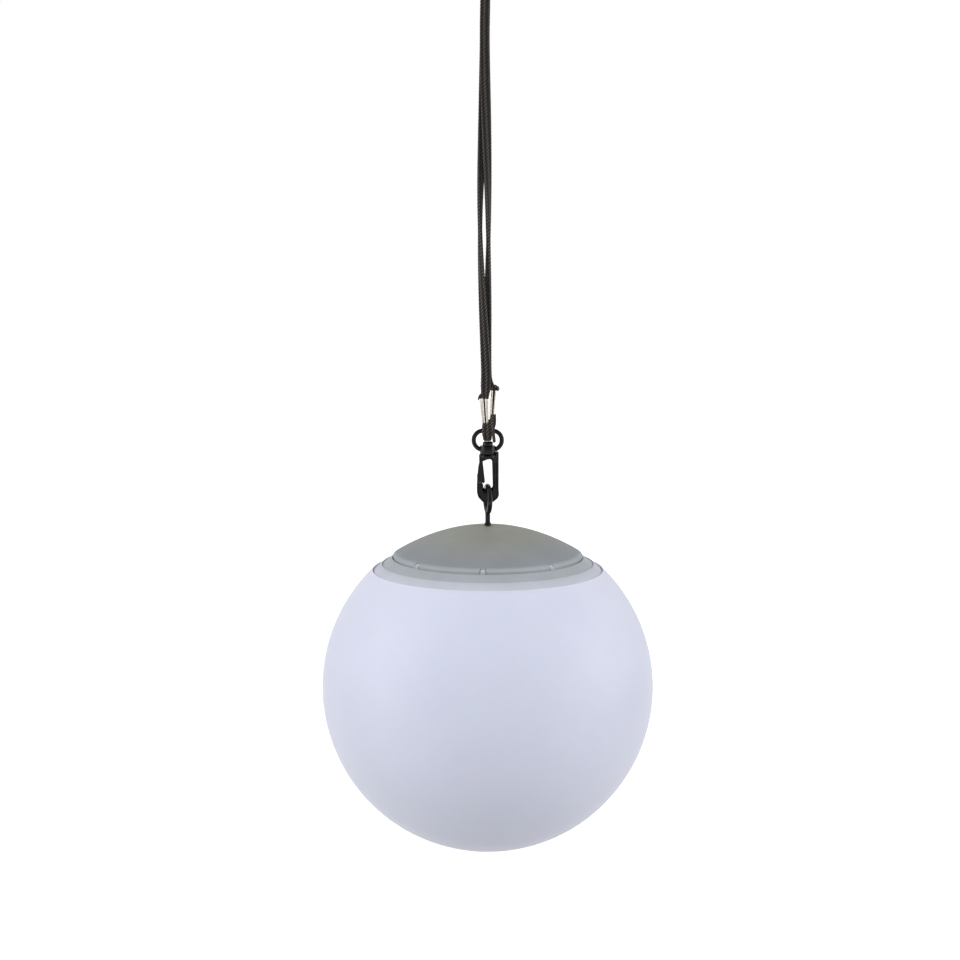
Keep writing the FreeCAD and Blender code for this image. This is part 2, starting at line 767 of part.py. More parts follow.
def make_snap_hook():
    """Hook with hollowed faces, its round shoulder, its post and the mushroom head on it."""
    face = rounded_face(hook_corners(), in_front_plane(-hook_depth / 2))
    body = face.extrude(ALONG_Y * hook_depth)
    body = body.cut(Part.makeCylinder(gate_knuckle / 2 + running_clearance, hook_depth + 2 * through,
                                      Vector(gate_root_x, -hook_depth / 2 - through, gate_root_z),
                                      ALONG_Y))
    body = body.cut(saddle_cutter())
    hollow_face = face.makeOffset2D(-hook_rib)
    hollow_box = box(-hook_width, hook_width, -hook_depth, hook_depth,
                     hook_bottom_z, arch_z - hook_arch_radius)
    for start in (0, hook_depth - hook_hollow):
        hollow = hollow_face.extrude(ALONG_Y * hook_hollow)
        hollow.translate(ALONG_Y * start)
        body = body.cut(hollow.common(hollow_box))
    shoulder = rod(swivel_collar_diameter / 2, shoulder_z - hook_shoulder_height, shoulder_z)
    head_z = swivel_collar_z + swivel_collar_height / 2 + running_clearance
    post = rod(swivel_post_diameter / 2, shoulder_z - hook_shoulder_height / 2, head_z + swivel_head_chamfer)
    head = rod(swivel_head_diameter / 2, head_z, head_z + swivel_head_height)
    rims = [edge for edge in head.Edges
            if len(edge.Vertexes) == 1 and edge.CenterOfMass.z > head_z + swivel_head_height / 2]
    head = head.makeChamfer(swivel_head_chamfer, rims)
    return body.fuse(shoulder).fuse(post).fuse(head)


def saddle_cutter():
    """Half ring that hollows the seat into a saddle, so that the eye can roll on it."""
    turning_point = Vector(seat_left_x + seat_radius, 0, seat_z - hook_seat_round)
    section = Part.Circle(turning_point + UP * (hook_seat_round + seat_radius), ALONG_Y, seat_radius)
    face = Part.Face(Part.Wire(section.toShape()))
    face.rotate(turning_point, ALONG_X, -90)
    return face.revolve(turning_point, ALONG_X, 180)


def make_hook_gate():
    """Tongue that closes the hook: a knuckle, a widening lever, a thumb pad and a barb."""
    pad_x = -hook_width / 2 + fit_clearance
    lever_x = pad_x + gate_pad_rise
    barb_x = nose_inner_x + fit_clearance
    barb_tip_x = barb_x + gate_barb_width
    tip = nose_top_z + hook_clearance
    knuckle_half = gate_knuckle / 2
    lever = rounded_face([
        (gate_root_x - gate_thickness / 2, gate_root_z, 0.0),
        (lever_x, tip + gate_pad_height, gate_corner_radius),
        (pad_x, tip + gate_pad_height - gate_pad_rise, gate_corner_radius),
        (pad_x, tip, 0.0),
        (barb_x, tip, 0.0),
        (barb_x, tip - gate_barb_drop, 0.0),
        (barb_tip_x, tip, gate_corner_radius / 4),
        (barb_tip_x, tip + gate_corner_radius, gate_corner_radius),
        (gate_root_x + gate_thickness / 2, gate_root_z, 0.0),
    ], in_front_plane(-gate_depth / 2)).extrude(ALONG_Y * gate_depth)
    knuckle = Part.makeCylinder(knuckle_half, gate_depth,
                                Vector(gate_root_x, -gate_depth / 2, gate_root_z), ALONG_Y)
    return lever.fuse(knuckle).removeSplitter()


# ---- Eye bolt and its fastening -----------------------------------------------------------

def make_eye_bolt():
    """Wire eye on a straight shank that goes through the dome."""
    centre = Vector(0, 0, eye_centre_z)
    ring = Part.makeTorus(eye_mid_radius, eye_wire / 2, centre, ALONG_X)
    shank = rod(eye_wire / 2, bolt_end_z, eye_centre_z - eye_mid_radius)
    rims = [edge for edge in shank.Edges
            if len(edge.Vertexes) == 1 and edge.CenterOfMass.z < nut_z]
    shank = shank.makeChamfer(bolt_end_chamfer, rims)
    foot = rod(eye_foot_diameter / 2, bush_top_z, bush_top_z + eye_foot_height)
    return around(ring.fuse(shank).fuse(foot), eye_turn, centre)


def make_cap_bush():
    """Flanged bush that lines the dome's hole."""
    flange = rod(bush_flange_diameter / 2, dome_top_z, bush_top_z)
    barrel = rod(bush_barrel_diameter / 2, dome_boss_z, dome_top_z)
    bore = rod(eye_wire / 2 + running_clearance, dome_boss_z - through, bush_top_z + through)
    return flange.fuse(barrel).cut(bore)


def make_washer(diameter, z0, z1):
    """Flat washer on the bolt."""
    return pipe(diameter / 2, eye_wire / 2 + running_clearance, z0, z1)


def make_lock_nut():
    """Six-sided nut with the round collar that holds its insert."""
    crown_top_z = nut_z + nut_crown_height
    hexagon = hex_prism(nut_across_flats, crown_top_z, spreader_z)
    crown = rod(nut_across_flats / 2 - nut_crown_inset, nut_z, crown_top_z)
    return hexagon.fuse(crown).cut(rod(eye_wire / 2 + rest_gap, nut_z - through, spreader_z + through))


# ---- Dome, collar, gasket -----------------------------------------------------------------

def notch_turns():
    """Turns of the notches about the upright axis, in degrees."""
    return [first_notch_turn + 360 / notch_count * item for item in range(notch_count)]


def make_dome_cap():
    """Thin dome with a boss for the eye bolt, four screw posts and notches in its edge."""
    shell = ball(dome_radius, globe_centre_z).cut(ball(dome_inner_radius, globe_centre_z))
    dome = shell.common(rod(dome_edge_radius, web_z, dome_top_z + through))
    inside = ball(dome_radius - dome_wall / 2, globe_centre_z)
    boss = rod(dome_boss_radius, dome_boss_z, dome_top_z).common(inside)
    dome = dome.fuse(boss)
    for x, y in fastener_places():
        post = rod(dome_post_diameter / 2, web_top_z + rest_gap, dome_top_z, x, y).common(inside)
        dome = dome.fuse(post)
    for x, y in fastener_places():
        pilot_top = housing_rim_z + screw_length + screw_end_gap
        dome = dome.cut(rod(screw_shank_diameter / 2 + rest_gap, web_z, pilot_top, x, y))
    for turn in notch_turns():
        notch = box(-notch_width / 2, notch_width / 2, -dome_edge_radius - through,
                    -dome_edge_radius + notch_depth, web_z, dome_top_z)
        dome = dome.cut(around(notch, turn))
    return dome.cut(rod(bush_barrel_diameter / 2, dome_boss_z - through, dome_top_z + through))


def band_points(radius, first, last):
    """Pairs of distance and height along a ball, from one distance to another."""
    distances = [first + (last - first) * step / BAND_STEPS for step in range(BAND_STEPS + 1)]
    return [(distance, sphere_height(radius, distance)) for distance in distances]


def make_closure_collar():
    """Ring between dome and globe: two bands, shelf, web, skirt, locating and locking lugs."""
    groove = dome_edge_radius + fit_clearance
    shelf_inner = dome_edge_radius - collar_shelf_width
    shelf_radius = dome_inner_radius - rest_gap
    profile = [(web_hole_radius, web_z), (skirt_inner, web_z), (skirt_inner, skirt_bottom_z),
               (skirt_outer, skirt_bottom_z), (skirt_outer, flange_z + flange_hollow_height),
               (lip_inner, flange_z + flange_lip_height), (lip_inner, flange_z),
               (collar_outer, flange_z)]
    profile += band_points(outer_band_radius, collar_outer, collar_step_radius)
    profile += band_points(inner_band_radius, collar_step_radius, groove)
    profile += band_points(shelf_radius, groove, shelf_inner)
    profile += [(shelf_inner, web_top_z), (web_hole_radius, web_top_z)]
    collar = turned_profile(profile)
    crown = ball(dome_radius - fit_clearance, globe_centre_z)
    crown = crown.cut(ball(shelf_radius - collar_crown_depth, globe_centre_z))
    for turn in notch_turns():
        lug = box(-notch_width / 2 + fit_clearance, notch_width / 2 - fit_clearance,
                  -groove - through, -dome_edge_radius + notch_depth - fit_clearance,
                  web_top_z, dome_top_z)
        collar = collar.fuse(around(lug.common(crown), turn))
    for item in range(lug_count):
        lug = box(-lug_width / 2, lug_width / 2, -skirt_outer - lug_reach, -skirt_inner - lug_root,
                  lug_top_z - lug_height, lug_top_z)
        collar = collar.fuse(around(lug, 360 / lug_count * item))
    for x, y in fastener_places():
        collar = collar.cut(rod(screw_shank_diameter / 2 + fit_clearance,
                                web_z - through, web_top_z + through, x, y))
    return collar


def make_neck_gasket():
    """Ring seal between the collar's flange and the globe's ledge."""
    return pipe(collar_outer - rest_gap, collar_outer - gasket_width, gasket_bottom_z, flange_z)


# ---- Globe --------------------------------------------------------------------------------

def make_globe_shell():
    """Hollow ball with a neck, a ledge inside it and gaps in the ledge for the lugs."""
    whole = ball(globe_radius, globe_centre_z)
    shell = whole.cut(ball(globe_radius - globe_wall, globe_centre_z))
    above_rim = rim_z + globe_radius
    shell = shell.fuse(whole.common(rod(globe_radius, ledge_bottom_z, above_rim)))
    shell = shell.cut(rod(neck_radius, ledge_top_z, above_rim))
    shell = shell.cut(rod(ledge_inner, ledge_bottom_z - through, above_rim))
    gap_half = lug_width / 2 + lug_side_gap
    gap_reach = skirt_outer + lug_reach + hook_clearance
    stop_start = lug_width / 2 + twist_stop_gap
    for item in range(lug_count):
        turn = 360 / lug_count * item
        gap = box(-gap_half, gap_half, -gap_reach, -ledge_inner + ledge_thickness,
                  ledge_bottom_z - through, ledge_top_z + rest_gap)
        shell = shell.cut(around(gap, turn - twist_travel))
        stop = box(stop_start, stop_start + twist_stop_width, -gap_reach, -ledge_inner - twist_clearance,
                   ledge_bottom_z - lug_height, ledge_bottom_z + rest_gap)
        shell = shell.fuse(around(stop, turn))
    return shell


# ---- Housing, panel, battery --------------------------------------------------------------

def make_module_housing():
    """Cup that hangs in the neck, with its rim, battery opening, switch slot and posts."""
    cup = pipe(housing_rim_radius, cup_inner_radius, housing_rim_z, web_z)
    cup = cup.fuse(pipe(housing_cup_radius, cup_inner_radius, floor_z, web_z))
    cup = cup.fuse(rod(housing_cup_radius, floor_z, floor_top_z))
    post_top_z = floor_top_z + small_screw_length
    post_radius = small_post_diameter / 2
    pilot_radius = small_screw_diameter / 2 + rest_gap
    floor_posts = [(door_screw_x, battery_back), (-led_screw_x, 0), (led_screw_x, 0)]
    for x, y in floor_posts:
        cup = cup.fuse(rod(post_radius, floor_top_z, post_top_z, x, y))
        cup = cup.cut(rod(pilot_radius, floor_z - through, post_top_z - through, x, y))
    for x, y in board_screw_places():
        cup = cup.fuse(rod(post_radius, floor_top_z, board_z, x, y))
        cup = cup.cut(rod(pilot_radius, floor_top_z + rest_gap, board_z + through, x, y))
    cup = cup.cut(box(-door_opening_half_length, door_opening_half_length,
                      battery_back - door_opening_half_width, battery_back + door_opening_half_width,
                      floor_z - through, floor_top_z + through))
    cup = cup.cut(box(-slot_half_length, slot_half_length, switch_y - slot_half_width,
                      switch_y + slot_half_width, floor_z - through, floor_top_z + through))
    cup = cup.cut(rod(lead_diameter, floor_z - through, floor_top_z + through, 0, led_lead_y))
    for x, y in fastener_places():
        cup = cup.cut(rod(screw_shank_diameter / 2 + fit_clearance,
                          housing_rim_z - through, web_z + through, x, y))
    return cup


def make_solar_panel():
    """Round panel that lies on the collar's web, with a bore for its lead."""
    bottom = web_top_z + rest_gap
    panel = rod(panel_radius, bottom, bottom + panel_thickness)
    return panel.cut(rod(panel_bore / 2, bottom - through, bottom + panel_thickness + through,
                         panel_lead_side, panel_lead_front))


def make_battery_cell():
    """Round cell with its raised cap, lying left to right."""
    cap_start = battery_length / 2 - battery_cap_height
    can = Part.makeCylinder(battery_diameter / 2, battery_length - battery_cap_height,
                            Vector(-battery_length / 2, battery_back, battery_z), ALONG_X)
    cap = Part.makeCylinder(battery_cap_diameter / 2, battery_cap_height,
                            Vector(cap_start, battery_back, battery_z), ALONG_X)
    return can.fuse(cap)


def make_battery_holder():
    """Cradle over the cell, open downwards, with an end wall behind each contact."""
    top = battery_z + battery_diameter / 2 + fit_clearance + holder_wall
    inner_length = holder_half_length - holder_wall
    inner_width = holder_half_width - holder_wall
    block = box(-holder_half_length, holder_half_length, battery_back - holder_half_width,
                battery_back + holder_half_width, floor_top_z, top)
    inside = box(-inner_length, inner_length, battery_back - inner_width, battery_back + inner_width,
                 floor_top_z - through, top - holder_wall)
    window = box(-holder_window_length / 2, holder_window_length / 2,
                 battery_back - holder_window_width / 2, battery_back + holder_window_width / 2,
                 top - holder_wall - through, top + through)
    return block.cut(inside).cut(window)


def make_battery_contacts():
    """Flat contact at the cap and a cone of spring wire at the other end."""
    wall_x = holder_half_length - holder_wall
    plate_half = contact_plate_width / 2
    cell_end = battery_length / 2
    reach = wall_x - contact_plate - cell_end
    left_plate = box(-wall_x, contact_plate - wall_x, battery_back - plate_half,
                     battery_back + plate_half, battery_z - plate_half, battery_z + plate_half)
    right_plate = box(wall_x - contact_plate, wall_x, battery_back - plate_half,
                      battery_back + plate_half, battery_z - plate_half, battery_z + plate_half)
    cone = Part.makeCone(contact_cone_small / 2, contact_cone_large / 2, reach,
                         Vector(-cell_end, battery_back, battery_z), ALONG_X * -1)
    button = Part.makeCylinder(contact_button_diameter / 2, reach,
                               Vector(cell_end, battery_back, battery_z), ALONG_X)
    return left_plate.fuse(cone), right_plate.fuse(button)


def make_battery_door():
    """Lid under the cell with a lip that drops into the opening and a screw tab."""
    bottom = floor_z - door_thickness
    lip_length = door_opening_half_length - fit_clearance
    lip_width = door_opening_half_width - fit_clearance
    plate = box(-door_half_length, door_half_length, battery_back - door_half_width,
                battery_back + door_half_width, bottom, floor_z)
    tab = box(door_opening_half_length, door_half_length + door_tab_length,
              battery_back - door_tab_width / 2, battery_back + door_tab_width / 2, bottom, floor_z)
    lip = box(-lip_length, lip_length, battery_back - lip_width, battery_back + lip_width,
              floor_z - door_lip_root, floor_z + door_lip)
    hole = rod(small_screw_diameter / 2 + fit_clearance, bottom - through, floor_z + through,
               door_screw_x, battery_back)
    return plate.fuse(tab).fuse(lip).cut(hole)


def make_battery_door_screw():
    """Screw through the lid's tab into its post."""
    return screw(door_screw_x, battery_back, floor_z - door_thickness, small_screw_diameter,
                 small_screw_head, small_screw_head_height, small_screw_length)


# ---- Light source, board, switch ----------------------------------------------------------

def make_led_board():
    """Round board under the housing's floor."""
    board = rod(led_board_radius, led_board_z, floor_z)
    for x in (-led_screw_x, led_screw_x):
        board = board.cut(rod(small_screw_diameter / 2 + fit_clearance,
                              led_board_z - through, floor_z + through, x, 0))
    return board.cut(rod(lead_diameter / 2 + fit_clearance, led_board_z - through,
                         floor_z + through, 0, led_lead_y))


def make_led_emitters():
    """Light sources: one in the middle and a ring of them, under the board."""
    half = led_size / 2
    emitter = box(-half, half, -half, half, led_board_z - led_height, led_board_z)
    emitters = [emitter]
    for item in range(led_count):
        turn = math.radians(360 / led_count * (item + 0.5))
        placed = emitter.copy()
        placed.translate(Vector(led_ring_radius * math.sin(turn), -led_ring_radius * math.cos(turn), 0))
        emitters.append(placed)
    return emitters


def make_led_board_screws():
    """Screws through the light source's board into the housing's floor."""
    return [screw(x, 0, led_board_z, small_screw_diameter, small_screw_head,
                  small_screw_head_height, small_screw_length) for x in (-led_screw_x, led_screw_x)]


def board_screw_places():
    """Places of the control board's screws, at two opposite corners."""
    x = board_length / 2 - board_screw_inset
    y = board_width / 2 - board_screw_inset
    return [(-x, board_y + y), (x, board_y - y)]


def make_control_board():
    """Board that lies over the housing's floor on two posts."""
    board = box(-board_length / 2, board_length / 2, board_y - board_width / 2,
                board_y + board_width / 2, board_z, board_top_z)
    for x, y in board_screw_places():
        board = board.cut(rod(small_screw_diameter / 2 + fit_clearance,
                              board_z - through, board_top_z + through, x, y))
    return board


def component_block(length, width, height, side, back):
    """Rectangular component on the board, by its middle."""
    return box(side - length / 2, side + length / 2, board_y + back - width / 2,
               board_y + back + width / 2, board_top_z, board_top_z + height)


def make_board_components():
    """Inductor, capacitor, controller and lead connector on top of the board."""
    inductor = rod(inductor_diameter / 2, board_top_z, board_top_z + inductor_height,
                   inductor_side, board_y + inductor_back)
    capacitor = rod(capacitor_diameter / 2, board_top_z, board_top_z + capacitor_height,
                    capacitor_side, board_y + capacitor_back)
    controller = component_block(controller_length, controller_width, controller_height,
                                 controller_side, controller_back)
    connector = component_block(connector_length, connector_width, connector_height, 0, connector_back)
    return inductor, capacitor, controller, connector


def make_board_screws():
    """Screws through the board into its posts."""
    screws = []
    for x, y in board_screw_places():
        head = rod(small_screw_head / 2 - fit_clearance, board_top_z,
                   board_top_z + small_screw_head_height, x, y)
        shank = rod(small_screw_diameter / 2, board_top_z - board_screw_length, board_top_z, x, y)
        screws.append(head.fuse(shank))
    return screws


def make_slide_switch():
    """Switch body under the board, open below for its slider."""
    body = box(-switch_length / 2, switch_length / 2, switch_y - switch_width / 2,
               switch_y + switch_width / 2, switch_z, board_z)
    cavity = box(-slot_half_length, slot_half_length, switch_y - slot_half_width,
                 switch_y + slot_half_width, switch_z - through, slider_top_z + fit_clearance)
    return body.cut(cavity)


def make_switch_slider():
    """Slider that a finger moves through the slot, shown at its off end."""
    centre = -switch_travel / 2
    bottom = floor_z - slider_below_floor
    stem = box(centre - slider_half_length, centre + slider_half_length,
               switch_y - slider_width / 2, switch_y + slider_width / 2, bottom, slider_top_z)
    lower = [edge for edge in stem.Edges if edge.CenterOfMass.z < bottom + rest_gap]
    return stem.makeChamfer(slider_chamfer, lower)


# ---- Leads --------------------------------------------------------------------------------

def make_panel_lead():
    """From the panel's underside to the connector's right end."""
    start = Vector(panel_lead_side, panel_lead_front, web_top_z + rest_gap)
    end = Vector(connector_pin_spacing, connector_y, connector_z)
    return lead("panel_lead", start, PANEL_LEAD_LEAVES, PANEL_LEAD_ARRIVES, end)


def make_battery_leads():
    """From the holder's side to the middle of the connector."""
    start = Vector(0, battery_back - holder_half_width, battery_z)
    end = Vector(0, connector_y, connector_z)
    return lead("battery_leads", start, BATTERY_LEADS_LEAVE, BATTERY_LEADS_ARRIVE, end)


def make_led_leads():
    """From the light source's board, through the floor, to the connector's left end."""
    start = Vector(0, led_lead_y, led_board_z)
    end = Vector(-connector_pin_spacing, connector_y, connector_z)
    return lead("led_leads", start, LED_LEADS_LEAVE, LED_LEADS_ARRIVE, end)


# ---- Build --------------------------------------------------------------------------------

def main():
    """Make every piece and write it to its own file."""
    os.makedirs("parts", exist_ok=True)

    front_eye, front_ferrule = make_front_cord_end()
    rear_eye, rear_ferrule = make_rear_cord_end()
    save("hanging_cord", make_hanging_cord())
    save("cord_eye_front", front_eye)
    save("cord_eye_rear", rear_eye)
    save("ferrule_front", front_ferrule)
    save("ferrule_rear", rear_ferrule)

    save("swivel_ring", make_swivel_ring())
    save("snap_hook", make_snap_hook())
    save("hook_gate", make_hook_gate())

    save("eye_bolt", make_eye_bolt())
    save("cap_bush", make_cap_bush())
    save("seal_washer", make_washer(seal_washer_diameter, seal_washer_z, dome_boss_z))
    save("spreader_washer", make_washer(spreader_diameter, spreader_z, seal_washer_z))
    save("lock_nut", make_lock_nut())

    save("dome_cap", make_dome_cap())
    save("closure_collar", make_closure_collar())
    save("neck_gasket", make_neck_gasket())
    save("globe_shell", make_globe_shell())

    save("module_housing", make_module_housing())
    save("housing_screws", *[screw(x, y, housing_rim_z, screw_shank_diameter, screw_head_diameter,
                                   screw_head_height, screw_length) for x, y in fastener_places()])
    save("solar_panel", make_solar_panel())
    save("battery_cell", make_battery_cell())
    save("battery_holder", make_battery_holder())
    save("battery_contacts", *make_battery_contacts())
    save("battery_door", make_battery_door())
    save("battery_door_screw", make_battery_door_screw())

    save("led_board", make_led_board())
    save("led_emitters", *make_led_emitters())
    save("led_board_screws", *make_led_board_screws())
    save("control_board", make_control_board())
    save("board_components", *make_board_components())
    save("board_screws", *make_board_screws())
    save("slide_switch", make_slide_switch())
    save("switch_slider", make_switch_slider())
    save("panel_lead", make_panel_lead())
    save("battery_leads", make_battery_leads())
    save("led_leads", make_led_leads())


main()
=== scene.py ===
import json
import logging
import math
from dataclasses import dataclass, field
from enum import Enum

import bpy
import numpy as np
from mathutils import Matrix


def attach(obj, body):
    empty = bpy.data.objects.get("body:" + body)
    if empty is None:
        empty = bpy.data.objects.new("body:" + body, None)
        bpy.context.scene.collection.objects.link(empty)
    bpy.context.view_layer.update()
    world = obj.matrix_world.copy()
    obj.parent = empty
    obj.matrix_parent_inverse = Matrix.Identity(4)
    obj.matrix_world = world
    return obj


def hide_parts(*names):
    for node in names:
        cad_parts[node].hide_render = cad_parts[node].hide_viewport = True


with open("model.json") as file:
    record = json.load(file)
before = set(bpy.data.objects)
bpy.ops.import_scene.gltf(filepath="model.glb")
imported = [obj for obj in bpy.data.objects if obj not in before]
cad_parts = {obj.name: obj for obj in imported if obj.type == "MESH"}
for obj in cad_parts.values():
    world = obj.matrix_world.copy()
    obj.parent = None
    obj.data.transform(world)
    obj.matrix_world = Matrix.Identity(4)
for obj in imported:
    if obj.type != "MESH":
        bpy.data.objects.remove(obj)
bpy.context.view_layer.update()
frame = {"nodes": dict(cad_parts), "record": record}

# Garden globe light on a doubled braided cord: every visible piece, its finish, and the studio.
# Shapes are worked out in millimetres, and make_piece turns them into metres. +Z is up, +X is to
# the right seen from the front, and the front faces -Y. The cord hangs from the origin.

MM = 0.001
LOG = logging.getLogger("globe_light")


class Body(Enum):
    """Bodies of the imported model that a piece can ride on."""

    CORD = "cord"
    RING = "ring"
    HOOK = "hook"
    GATE = "gate"
    LAMP = "lamp"
    GLOBE = "globe"


class Along(Enum):
    """Direction in which a finish was drawn or ground, as the stretch of its pattern."""

    X = (0.06, 1.0, 1.0)
    Y = (1.0, 0.06, 1.0)
    Z = (1.0, 1.0, 0.06)
    EVEN = (1.0, 1.0, 1.0)


# ---- Shapes as arrays ---------------------------------------------------------------------


@dataclass
class Shell:
    """A closed surface as plain arrays, in millimetres.

    points has a row for each vertex, quads and triangles hold vertex numbers, the two uv arrays
    a pair for each corner, and crown one value for each vertex: 1 on a strand, 0 between strands.
    """

    points: np.ndarray
    quads: np.ndarray
    triangles: np.ndarray
    quad_uv: np.ndarray
    triangle_uv: np.ndarray
    crown: np.ndarray

    def outward(self) -> "Shell":
        """Turn every face round if the volume they enclose comes out negative.

        Returns:
            The shell itself, with its faces outwards.
        """
        faces = np.concatenate([self.quads[:, [0, 1, 2]], self.quads[:, [0, 2, 3]], self.triangles])
        a, b, c = (self.points[faces[:, corner]] for corner in range(3))
        if np.einsum("ij,ij->i", a, np.cross(b, c)).sum() < 0:
            self.quads = self.quads[:, ::-1]
            self.triangles = self.triangles[:, ::-1]
            self.quad_uv = self.quad_uv[:, ::-1]
            self.triangle_uv = self.triangle_uv[:, ::-1]
        return self


def skin(grid: np.ndarray, rows_go_round: bool = False, uv: np.ndarray | None = None,
         crown: np.ndarray | None = None, folded: bool = False) -> Shell:
    """Skin a grid whose columns go round.

    Formula: each quad joins the points (r, c), (r, c+1), (r+1, c+1) and (r+1, c). Unless the rows
    go round too, the first and the last row are closed by triangles to their middle, or, where
    each row goes out along a wall and back, by quads across the wall.

    Args:
        grid: Points in rows and columns, shape (rows, columns, 3).
        rows_go_round: Whether the last row joins the first.
        uv: Pairs for the pattern, with one column more than the grid, or None.
        crown: Height of the strands at each point, or None.
        folded: Whether each row goes out along one side of a wall and back along the other.

    Returns:
        The closed surface, with its faces outwards.
    """
    rows, columns = grid.shape[:2]
    row, column = np.meshgrid(np.arange(rows if rows_go_round else rows - 1),
                              np.arange(columns), indexing="ij")
    below = (row + 1) % rows
    beside = (column + 1) % columns
    quads = np.stack([row * columns + column, row * columns + beside,
                      below * columns + beside, below * columns + column], -1).reshape(-1, 4)
    if uv is None:
        uv = np.zeros((rows + 1, columns + 1, 2))
    quad_uv = np.stack([uv[row, column], uv[row, column + 1],
                        uv[row + 1, column + 1], uv[row + 1, column]], -2).reshape(-1, 4, 2)
    points = grid.reshape(-1, 3)
    height = np.ones(len(points)) if crown is None else crown.reshape(-1)
    triangles = np.zeros((0, 3), int)
    triangle_uv = np.zeros((0, 3, 2))
    count = rows * columns
    if folded:
        out = np.arange(columns // 2 - 1)
        back = columns - 1 - out
        foot = np.stack([out + 1, out, back, back - 1], -1)
        lids = np.concatenate([foot, foot[:, ::-1] + count - columns])
        quads = np.concatenate([quads, lids])
        quad_uv = np.concatenate([quad_uv, np.zeros((len(lids), 4, 2))])
    elif not rows_go_round:
        ring = np.arange(columns)
        turned = (ring + 1) % columns
        points = np.concatenate([points, grid[[0, -1]].mean(axis=1)])
        height = np.concatenate([height, [0.2, 0.2]])
        first = np.stack([np.full(columns, count), turned, ring], -1)
        last = np.stack([np.full(columns, count + 1), count - columns + ring,
                         count - columns + turned], -1)
        triangles = np.concatenate([first, last])
        edge = np.concatenate([uv[0, :columns], uv[rows - 1, :columns]])
        triangle_uv = np.repeat(edge[:, None, :], 3, axis=1)
    return Shell(points, quads, triangles, quad_uv, triangle_uv, height).outward()


def join(shells: list[Shell]) -> Shell:
    """Put several surfaces into one set of arrays, each with its own vertices.

    Args:
        shells: The surfaces, which keep their order.

    Returns:
        All of them as one shell.
    """
    starts = np.cumsum([0] + [len(shell.points) for shell in shells[:-1]])
    return Shell(
        np.concatenate([shell.points for shell in shells]),
        np.concatenate([shell.quads + start for shell, start in zip(shells, starts)]),
        np.concatenate([shell.triangles + start for shell, start in zip(shells, starts)]),
        np.concatenate([shell.quad_uv for shell in shells]),
        np.concatenate([shell.triangle_uv for shell in shells]),
        np.concatenate([shell.crown for shell in shells]),
    )


def resample(line: np.ndarray, count: int, closed: bool = False) -> np.ndarray:
    """Even points along a line.

    Formula: the coordinates are read off at equal steps of the length travelled.

    Args:
        line: Points in order, shape (n, 2) or (n, 3).
        count: How many points to give.
        closed: Whether the line returns to its first point, which is then not given twice.

    Returns:
        The points, shape (count, 2) or (count, 3).
    """
    points = np.vstack([line, line[:1]]) if closed else line
    travelled = np.concatenate([[0], np.cumsum(np.linalg.norm(np.diff(points, axis=0), axis=1))])
    targets = np.linspace(0, travelled[-1], count + 1)[:-1] if closed else np.linspace(
        0, travelled[-1], count)
    return np.stack([np.interp(targets, travelled, points[:, axis])
                     for axis in range(points.shape[1])], -1)


def rounded(corners: list[tuple[float, float, float]], closed: bool = True,
            steps: int = 7) -> np.ndarray:
    """Outline through corners that are rounded by arcs tangent to both their lines.

    Formula: an arc is the rational curve ((1-t)^2 S + 2t(1-t) w C + t^2 E) over the sum of its
    weights, where C is the corner, S and E lie on its two lines at radius times the tangent of
    half the turn, at most 0.49 of the shorter line, and w is the cosine of half the turn.

    Args:
        corners: Two coordinates and a radius each.
        closed: Whether the outline returns to its first corner.
        steps: Points on each arc.

    Returns:
        The outline's points, shape (n, 2), without doubles.
    """
    data = np.array(corners, float)
    place = data[:, :2]
    before = np.roll(place, 1, axis=0)
    after = np.roll(place, -1, axis=0)
    back = np.linalg.norm(place - before, axis=1)
    forth = np.linalg.norm(after - place, axis=1)
    arriving = (place - before) / np.maximum(back, 1e-9)[:, None]
    leaving = (after - place) / np.maximum(forth, 1e-9)[:, None]
    half_turn = np.arccos(np.clip((arriving * leaving).sum(axis=1), -1, 1)) / 2
    radius = data[:, 2].copy()
    if not closed:
        radius[[0, -1]] = 0
    cut = np.minimum(radius * np.tan(half_turn), 0.49 * np.minimum(back, forth))
    start = place - arriving * cut[:, None]
    end = place + leaving * cut[:, None]
    t = np.linspace(0, 1, steps)[None, :, None]
    weight = np.cos(half_turn)[:, None, None]
    curve = ((1 - t) ** 2 * start[:, None] + 2 * t * (1 - t) * weight * place[:, None]
             + t ** 2 * end[:, None]) / ((1 - t) ** 2 + 2 * t * (1 - t) * weight + t ** 2)
    points = curve.reshape(-1, 2)
    step = np.linalg.norm(points - np.roll(points, 1, axis=0), axis=1)
    keep = step > 1e-6
    if not closed:
        keep[0] = True
    return points[keep]


def between(line: np.ndarray, breaks: list[tuple[float, float]], counts: list[int]) -> np.ndarray:
    """Points along an open line, with a given number of them between neighbouring breaks.

    Formula: each break is the place on the line nearest to it, and the points between two breaks
    stand at equal steps of the length travelled.

    Args:
        line: Pairs in order, shape (n, 2).
        breaks: Places on the line, from its start to its end.
        counts: How many points to give from each break up to the next.

    Returns:
        The points, with the last break as one more, shape (sum of counts + 1, 2).
    """
    fine = resample(line, 3000)
    travelled = np.concatenate([[0], np.cumsum(np.linalg.norm(np.diff(fine, axis=0), axis=1))])
    marks = [travelled[np.argmin(np.linalg.norm(fine - np.array(mark), axis=1))] for mark in breaks]
    targets = [np.linspace(start, end, count, endpoint=False)
               for start, end, count in zip(marks, marks[1:], counts)]
    targets = np.concatenate(targets + [marks[-1:]])
    return np.stack([np.interp(targets, travelled, fine[:, axis]) for axis in range(2)], -1)


